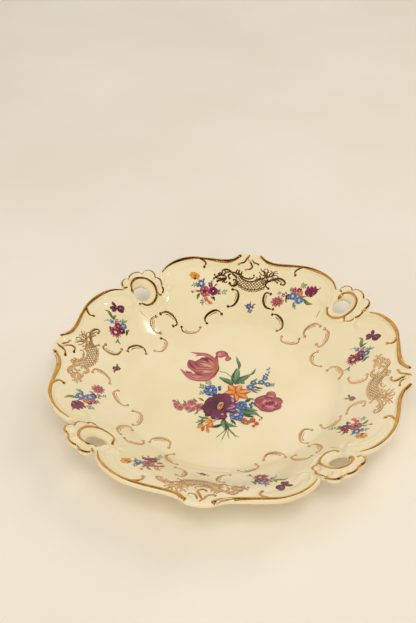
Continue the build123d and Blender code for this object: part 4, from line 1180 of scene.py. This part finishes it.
def bouquetLeaves(sheet):
    leaf(sheet, [(4.6, 5), (3.4, 13), (4.0, 20), (4.8, 27)], 3.7, "leafCool")
    leaf(sheet, [(5.0, 24), (4.8, 30), (2.8, 35), (0.4, 41.4)], 1.5, "leafCool")
    leaf(sheet, [(4.8, 5), (8.6, 11.4), (13.4, 16.4), (17.0, 20)], 3.1, "leaf")
    leaf(sheet, [(14.6, 17.8), (18, 21.6), (19.8, 28)], 1.1, "leaf")
    leaf(sheet, [(3.2, 3.4), (-1.6, 7.6), (-6, 10), (-11.2, 12.8)], 2.6, "leaf")
    leaf(sheet, [(3, 6), (0, 9), (-3.4, 11.6)], 1.1, "leafCool")
    twigs(sheet, -17, 0, 112, 8, "sage", 5)
    twigs(sheet, -18, -2.6, 165, 8, "greyGreen", 5)
    twigs(sheet, -18, -7, 200, 7, "greyGreen", 4)


def blueOpen(sheet, x, y, r, flat, turn, eyeTurn):  # a full-face blue flower with an amber eye
    spot(sheet, x, y, 0.86 * r * max(flat, 1), "blueDeep", min(flat, 1 / flat), 90 if flat > 1 else 0)
    ringOf(sheet, x, y, 0.15 * r, r, 7, 0.36 * r, "blue", turn, "fat", flat)
    ringOf(sheet, x, y, 0.4 * r, 0.88 * r, 7, 0.12 * r, "blueLight", turn + 8, "leaf", flat)
    ringOf(sheet, x, y, 0.42 * r, 0.98 * r, 7, 0.06 * r, "blueDeep", turn + 26, "leaf", flat)
    for radius, colour in ((0.44, "blueDeep"), (0.38, "cream"), (0.31, "yellow"), (0.22, "orange")):
        spot(sheet, x, y, radius * r, colour, 0.76, eyeTurn)
    spot(sheet, x + 0.04 * r, y - 0.05 * r, 0.13 * r, "rust", 0.8, eyeTurn)


def blueFlowers(sheet):
    twigs(sheet, 13, 7, 160, 5, "leafCool", 4)
    leaf(sheet, [(19, 11), (21.6, 13.4), (22, 16)], 0.9, "greyGreen")
    leaf(sheet, [(21, 5.4), (24.4, 3.4), (29, 3.8)], 0.9, "leafDark")
    leaf(sheet, [(19, 0), (22.4, -1.6), (25.4, -2.6)], 0.8, "leaf")
    leaf(sheet, [(20, 1.4), (24.6, 0.6), (27.6, 0.8)], 0.8, "greyGreen")
    twigs(sheet, 33, 8.4, 10, 5.4, "sage", 4)
    stalk(sheet, [(14, 1), (19, 6), (25, 10), (29, 16), (31.6, 24), (30.4, 29)], 0.24, "leafCool")
    stalk(sheet, [(24, 9.6), (29, 9.6), (33, 8.8)], 0.22, "leafCool")
    for x, y, r, turn in ((18, 3.2, 3.9, 20), (19.8, 9.2, 3.2, 60), (26.6, 10.8, 3.2, 10),
                          (32.2, 8.8, 2.9, 45),
                          (29.2, 16, 2.6, 0)):
        blueDaisy(sheet, x, y, r, "orange" if r > 3 else "yellow", 5, 1.0, turn)
    for x, y in ((31.0, 20.2), (29.4, 21.6), (31.8, 24.4), (30.0, 27.4), (31.6, 29.2), (28.0, 19.0)):
        spot(sheet, x, y, 1.1, "blueLight" if y > 24 else "blue", 0.75, 60)
    spot(sheet, -8.2, -0.4, 1.9, "blue", 0.75, 80)
    spot(sheet, -7.6, -3.0, 1.5, "blueDeep", 0.8, 70)
    spot(sheet, -8.0, 1.0, 0.8, "blueLight", 0.7)
    blueOpen(sheet, -15.2, -5.2, 6.2, 1.16, 80, 85)


def lily(sheet):
    heart = np.array([6.8, -4.8])
    spot(sheet, *heart, 4.6, "orange", 0.9)
    for tip, half in (((8.8, -15.8), 2.2), ((-1.4, 3.6), 3.3), ((17.6, -10.4), 2.7), ((-3.6, -6.4), 2.7),
                      ((19.2, -1.4), 2.8), ((9.6, 5.0), 2.9)):
        tip = np.array(tip)
        side = np.array([heart[1] - tip[1], tip[0] - heart[0]]) / np.hypot(*(tip - heart))
        brush(sheet, [heart, (heart + tip) / 2, tip], half + 0.5, "orangeRed", "leaf", 0.95)
        brush(sheet, [heart, (heart + tip) / 2, tip], half, "amber", "leaf")
        for k in (-1, 0, 1):
            vein = [heart, (heart + tip) / 2 + side * k * 0.9, (heart + 3 * tip) / 4 + side * k * 1.1]
            brush(sheet, vein, 0.34, "orangeRed" if k else "orange", "leaf")
        brush(sheet, [heart, (2 * heart + tip) / 3], 0.8, "rust", "leaf")
    ringOf(sheet, *heart, 0.6, 3.4, 6, 1.1, "orange", 25, "round")
    ringOf(sheet, *heart, 0.8, 2.6, 6, 0.3, "rust", 55, "leaf")
    spot(sheet, *heart, 1.2, "rust")
    spot(sheet, 7.2, -4.2, 0.6, "amber")


def pinkRose(sheet):
    for x, y, r, flat, turn, colour in (
            (35.0, -13.4, 11.2, 0.84, 0, "rosePetal"), (36.4, -3.4, 4.4, 0.9, 10, "rosePetal"),
            (28.0, -10.6, 5.2, 0.74, 40, "rosePetal"), (43.2, -9.6, 4.2, 0.8, -50, "rosePetal"),
            (26.8, -16.0, 4.6, 0.7, -30, "rosePetal"), (34.6, -20.2, 6.8, 0.5, 0, "rosePetal"),
            (42.6, -16.4, 4.4, 0.76, 50, "rosePetal"), (36.4, -5.4, 3.6, 0.6, 0, "roseLight"),
            (36, -12.6, 8.6, 0.78, 0, "rosePetal"), (31.4, -12.8, 3.6, 0.7, 60, "roseLight"),
            (36.4, -18.4, 5.4, 0.4, 5, "roseLight"), (41.6, -12.8, 3.0, 0.6, -60, "roseLight"),
            (36.8, -13.4, 4.8, 0.8, 20, "roseDeep"), (36.2, -14.0, 2.6, 0.7, 0, "crimson")):
        spot(sheet, x, y, r, colour, flat, turn)
    for points, half, colour in (
            ([(31, -8.4), (36, -6.8), (41.4, -9)], 0.8, "roseDeep"),
            ([(29.6, -14.6), (32.4, -18.6), (38, -19.6)], 0.7, "roseDeep"),
            ([(40.4, -18), (43, -14.4), (42.2, -10.4)], 0.7, "roseDeep"),
            ([(33.4, -14), (35.4, -10.8), (39.6, -11.6)], 0.8, "roseLight"),
            ([(33.6, -15.4), (36.8, -17.2), (40.2, -15)], 0.8, "roseLight"),
            ([(33, -3.2), (36.6, -1.0), (40.2, -3.4)], 0.6, "roseLight"),
            ([(24.4, -14), (27, -18), (32, -21.6)], 0.5, "roseLight"),
            ([(35, -13.2), (37, -12), (38.8, -13.6), (37.2, -15.2)], 0.5, "crimsonDeep")):
        brush(sheet, points, half, colour, "leaf")


def anemone(sheet):
    heart = np.array([-4.2, -22.5])
    spot(sheet, *heart, 9.5, "plum", 1.0)
    # six broad petals of three overlapping strokes each, so their tips wave
    for angle, reach, colour in ((165, 15.0, "plum"), (213, 16.8, "plum"), (101, 15.8, "plum"),
                                 (272, 17.0, "plumSoft"), (55, 15.6, "plumSoft"), (-2, 14.8, "plumSoft")):
        for lean in (-17, 17, 0):
            way = toward(angle + lean)
            end = heart + way * reach * sheet["hand"].uniform(0.93, 1.02)
            brush(sheet, [heart + way * 2, (heart + end) / 2, end], 3.5, colour, "fat")
        for lean in (-20, -9, 3, 13, 22):
            way = toward(angle + lean)
            brush(sheet, [heart + way * 5, heart + way * 0.62 * reach, heart + way * 0.92 * reach], 0.32,
                  "crimsonDeep" if lean % 2 else "plumSoft", "leaf", 0.9)
        seam = toward(angle + 31)
        brush(sheet, [heart + seam * 5, heart + seam * 0.6 * reach, heart + seam * 0.84 * reach], 0.5,
              "crimsonDeep", "leaf")
    for points, half, colour in (
            ([(3.4, -12.0), (5.2, -14.6), (5.8, -17.8)], 1.4, "plumLight"),
            ([(0.8, -25.8), (4.4, -24.2), (9.2, -20.8)], 1.3, "plumLight"),
            ([(2.6, -22.2), (5.8, -20.8), (8.4, -20.6)], 0.9, "plumLight"),
            ([(3.6, -26.4), (6.6, -26.8), (9.4, -25.2)], 0.8, "plumLight"),
            ([(-2.4, -30.8), (-1.0, -32.2), (0.4, -31.6)], 1.2, "plumLight"),
            ([(-6.4, -35.2), (-5.2, -37.4), (-2.8, -38.2)], 0.6, "plumLight"),
            ([(-10.6, -18.4), (-13.4, -18.8), (-16, -20.8)], 1.0, "plumSoft"),
            ([(-10.6, -28.4), (-13.6, -31), (-12.4, -33.2)], 1.2, "plumSoft"),
            ([(-8.8, -9.8), (-6.8, -9.2), (-5.2, -11.4)], 1.1, "plumSoft")):
        brush(sheet, points, half, colour, "leaf")
    for radius, colour, bright in ((5.6, "crimsonDeep", 1.0), (5.1, "cream", 0.92), (4.5, "rust", 1.0),
                                   (3.9, "orange", 0.95)):
        spot(sheet, -4.2, -22.7, radius, colour, 0.74, 82, bright)
    ringOf(sheet, -4.2, -22.7, 0.8, 3.4, 9, 0.34, "rust", 12, "leaf", 1.2)
    spot(sheet, -4.0, -21.8, 1.7, "rust", 0.8, 80)
    spot(sheet, -4.8, -24.8, 1.2, "amber", 0.8, 80)


def lowerBouquet(sheet):
    leaf(sheet, [(12, -24), (18, -26.4), (24, -26.4), (29, -28)], 2.6, "leaf")
    leaf(sheet, [(15, -22), (20, -22.6), (27.4, -23.4)], 1.6, "leafCool")
    leaf(sheet, [(14, -28), (19.6, -30), (25.4, -31)], 1.5, "leafDark")
    leaf(sheet, [(15, -14), (18.4, -13), (20, -10.4)], 1.0, "leafDark")
    leaf(sheet, [(16, -12), (20.4, -10.4), (23.6, -11.2)], 0.9, "leaf")
    stalk(sheet, [(25, -27), (30, -29.6), (32, -33)], 0.2, "brown")
    spot(sheet, 31.6, -31.0, 0.8, "brown")
    spot(sheet, 30.2, -33.4, 0.7, "brown")
    blueOpen(sheet, 10.6, -30.8, 6.7, 0.9, 20, 25)
    blueOpen(sheet, 13.2, -19.2, 5.2, 1.06, 45, 100)
    for x, y in ((20.4, -17.2), (22.0, -15.0), (21.8, -19.4)):
        spot(sheet, x, y, 1.5, "blue", 0.8, 50)
    for x, y, r in ((17.6, -35.6, 2.6), (24.4, -34.6, 2.8), (28.2, -38.0, 2.2), (21.4, -37.2, 1.8),
                    (26.0, -41.0, 1.4)):
        spot(sheet, x, y, 0.6 * r, "orangeRed", 0.8, 30, 0.8)
        ringOf(sheet, x, y, 0.1 * r, r, 5, 0.42 * r, "orangeRed", 40)
        ringOf(sheet, x, y, 0.1 * r, 0.6 * r, 4, 0.14 * r, "rust", 15, "leaf")
        spot(sheet, x + 0.3 * r, y + 0.2 * r, 0.2 * r, "roseLight")
    leaf(sheet, [(13, -34), (17, -38.6), (22, -40)], 0.8, "olive")
    stalk(sheet, [(9, -34), (14, -36.6), (20, -36), (26, -37)], 0.24, "stem")


def sideSprays(sheet):
    stalk(sheet, [(-18, -26), (-26, -26.4), (-34, -26.6), (-45, -20)], 0.3, "stem")
    stalk(sheet, [(-20, -24), (-26, -22.6), (-31, -20)], 0.24, "stem")
    for points, half in (([(-19, -18.6), (-21.6, -16.4), (-24.6, -15.6)], 0.9),
                         ([(-24, -20), (-27, -17.8), (-28.4, -15.4)], 0.8),
                         ([(-33, -25), (-34.6, -21.6), (-36.6, -19.6)], 0.9),
                         ([(-26, -28), (-27.4, -31), (-30.6, -33.4)], 1.1),
                         ([(-22, -29), (-22.4, -32), (-24.4, -35)], 0.9),
                         ([(-38, -25), (-40.6, -21.4), (-41.4, -19)], 0.6)):
        leaf(sheet, points, half, "leaf" if half > 0.85 else "olive")
    for x, y, r in ((-21.8, -25.6, 4.9), (-28.8, -21.8, 4.2), (-30.6, -28.6, 3.2), (-37.2, -28.8, 3.7),
                    (-41.4, -25.4, 2.9), (-34.0, -25.0, 2.6), (-26.0, -29.0, 2.4), (-43.8, -21.8, 1.7),
                    (-40.8, -28.2, 1.9)):
        spot(sheet, x, y, 0.62 * r, "pinkSpray", 0.85, 20, 0.85)
        ringOf(sheet, x, y, 0.1 * r, r, 5, 0.44 * r, "pinkSpray", 17 * x)
        ringOf(sheet, x, y, 0.2 * r, 0.8 * r, 5, 0.13 * r, "roseLight", 9 * y, "leaf")
        ringOf(sheet, x, y, 0.05 * r, 0.5 * r, 4, 0.12 * r, "crimson", 5 * y, "leaf")
    for points, half in (([(-12, -37), (-16.6, -37.6), (-21, -36)], 1.0),
                         ([(-13, -40), (-17.4, -41.4), (-20.6, -40.4)], 1.0),
                         ([(-15, -42), (-18.4, -45.4), (-19.4, -48)], 0.9),
                         ([(-16, -38.6), (-19, -42.4), (-22, -44)], 0.6)):
        leaf(sheet, points, half, "leafCool")
    stalk(sheet, [(-5, -38), (-9, -42), (-14, -46)], 0.28, "stem")
    for points, half, colour in (([(-7.6, -41), (-11, -39.6), (-14.4, -42.4)], 2.2, "orange"),
                                 ([(-6.4, -43), (-9.6, -45.6), (-13, -44.8)], 2.2, "orangeRed"),
                                 ([(-8, -40.6), (-8.4, -44), (-10.4, -46.6)], 1.8, "orange"),
                                 ([(-14, -45), (-17, -46.6), (-19, -50)], 1.5, "orange"),
                                 ([(-13.4, -46), (-14.6, -49.4), (-14.2, -52.6)], 1.5, "orangeRed"),
                                 ([(-12, -47), (-10.6, -50), (-9.0, -53.4)], 1.3, "orange")):
        brush(sheet, points, half, colour, "petal")
    for x, y in ((-10.6, -42.6), (-16.4, -47.6), (-10.4, -49.6)):
        spot(sheet, x, y, 0.6, "amber")


def stems(sheet):
    for points in ([(1.6, -38), (5.4, -45), (9.6, -51), (16.6, -55)],
                   [(4, -38), (6.0, -46), (6.4, -52), (8.6, -57.6)],
                   [(7, -38), (5.4, -46), (3.6, -54), (2.2, -60.4)],
                   [(9, -38), (6.4, -45), (1.4, -52), (-3.0, -58.6)],
                   [(3, -38), (6.6, -46.6), (11.2, -51.4), (13.4, -56)]):
        stalk(sheet, points, 0.36, "stem")
    leaf(sheet, [(1.6, -36), (1.0, -41), (2.6, -47)], 2.4, "leafCool")
    leaf(sheet, [(0.6, -42), (-4, -45.4), (-10.0, -46.6)], 1.6, "leafDark")
    leaf(sheet, [(2.4, -40), (6.8, -42.6), (13.6, -43.4)], 1.5, "leaf")
    leaf(sheet, [(3.4, -42), (4.0, -46), (2.6, -49)], 1.1, "leafDark")
    leaf(sheet, [(6, -36), (9.6, -39), (11.6, -42)], 1.2, "leafDark")


# the bouquet in the well, painted from the back flowers to the front ones
sheet = newSheet(0, 0, 0, 0, 5)
for partOfBouquet in (stems, bouquetLeaves, tulip, sideSprays, blueFlowers, pinkRose, lowerBouquet, lily,
                      anemone):
    partOfBouquet(sheet)
finished(sheet["bm"], "centreBouquet", ["centre_bouquet"], "bouquet_enamel")
print("bouquet painted")

# a cream paper table under soft light: what the gold mirrors is bright all round and dark overhead
studio = dict(tableHalf=3.0, paper=[(0.35, "#F0EADE"), (0.65, "#F6F1E7")], fill="#BCB6AC",
              darkCeiling=(0.39, -0.3, 0.87),
              mirrored=[(0.0, "#FFFCF4"), (0.53, "#F8F0E0"), (0.6, "#4A4434"), (0.86, "#262116")])
table = bmesh.new()
bmesh.ops.create_grid(table, x_segments=2, y_segments=2, size=studio["tableHalf"])
tableMesh = bpy.data.meshes.new("table")
table.to_mesh(tableMesh)
table.free()
floor = bpy.data.objects.new("table", tableMesh)
bpy.context.scene.collection.objects.link(floor)
paper, tree, surface = newMaterial("creamPaper", Roughness=0.85)
where = node(tree, "ShaderNodeTexCoord").outputs["Object"]
cloud = node(tree, "ShaderNodeTexNoise", {"Scale": 4.0, "Detail": 2.0}, Vector=where)
tree.links.new(rampOf(tree, cloud.outputs["Fac"], studio["paper"]), surface.inputs["Base Color"])
tableMesh.materials.append(paper)

world = bpy.data.worlds.new("studio")
bpy.context.scene.world = world
world.use_nodes = True
tree = world.node_tree
direction = node(tree, "ShaderNodeTexCoord").outputs["Generated"]
towardCeiling = node(tree, "ShaderNodeVectorMath", {"operation": "DOT_PRODUCT"}, Vector=direction)
towardCeiling.inputs[1].default_value = studio["darkCeiling"]
mirrored = rampOf(tree, towardCeiling.outputs["Value"], studio["mirrored"])
glossyRay = node(tree, "ShaderNodeLightPath").outputs["Is Glossy Ray"]
shown = mixedColour(tree, glossyRay, studio["fill"], mirrored)
tree.links.new(shown, tree.nodes["Background"].inputs["Color"])


lampColour, aimHeight = "#FFFAF2", 0.02


def areaLight(name, place, size, power, mirroredToo=True):
    light = bpy.data.lights.new(name, "AREA")
    light.shape = "RECTANGLE"
    light.size, light.size_y = size
    light.energy = power
    light.color = linear(lampColour)[:3]
    lamp = bpy.data.objects.new(name, light)
    bpy.context.scene.collection.objects.link(lamp)
    lamp.location = place
    lamp.rotation_euler = (Vector((0, 0, aimHeight)) - Vector(place)).to_track_quat("-Z", "Y").to_euler()
    lamp.visible_glossy = mirroredToo


areaLight("softboxOverhead", (0.35, -1.25, 2.7), (1.8, 1.2), 29, mirroredToo=False)
areaLight("softboxBack", (1.1, 1.5, 1.9), (1.1, 1.1), 9.5, mirroredToo=False)
areaLight("frontGlow", (0.1, -1.6, 1.5), (0.9, 0.35), 2.5)
areaLight("windowGlint", (0.48, 0.255, 0.835), (0.045, 0.06), 0.27)
areaLight("ceilingStrip", (-0.1, -0.45, 1.2), (0.35, 0.02), 0.22)
areaLight("lowFront", (-0.5, -1.3, 0.45), (0.9, 0.3), 2.2)

# the camera: angles in degrees, distances in the dish's millimetres, the lens and sensor in their own
view = dict(azimuth=10.2993, elevation=39.3218, roll=-1.6170, aside=17.4880, lower=-42.9123, away=707.8605,
            lens=48.98, sensor=36, lift=37.5)
camera = bpy.data.objects.new("camera", bpy.data.cameras.new("camera"))
bpy.context.scene.collection.objects.link(camera)
bpy.context.scene.camera = camera
azimuth, elevation, roll = (radians(view[key]) for key in ("azimuth", "elevation", "roll"))
back = Vector((sin(azimuth) * cos(elevation), -cos(azimuth) * cos(elevation), sin(elevation)))
right = (-back).cross(Vector((0, 0, 1))).normalized()
up = right.cross(-back)
axes = Matrix(((cos(roll), sin(roll), 0), (-sin(roll), cos(roll), 0), (0, 0, 1))) @ Matrix((right, up,
                                                                                            back))
offset = Vector((view["aside"], view["lower"], -view["away"]))
place = Vector((0, 0, view["lift"])) - axes.transposed() @ offset
camera.matrix_world = Matrix.Translation(place * mm) @ axes.transposed().to_4x4()
camera.data.lens = view["lens"]
camera.data.sensor_width = view["sensor"]
bpy.context.scene.view_settings.view_transform = "Standard"
print("lit and framed")
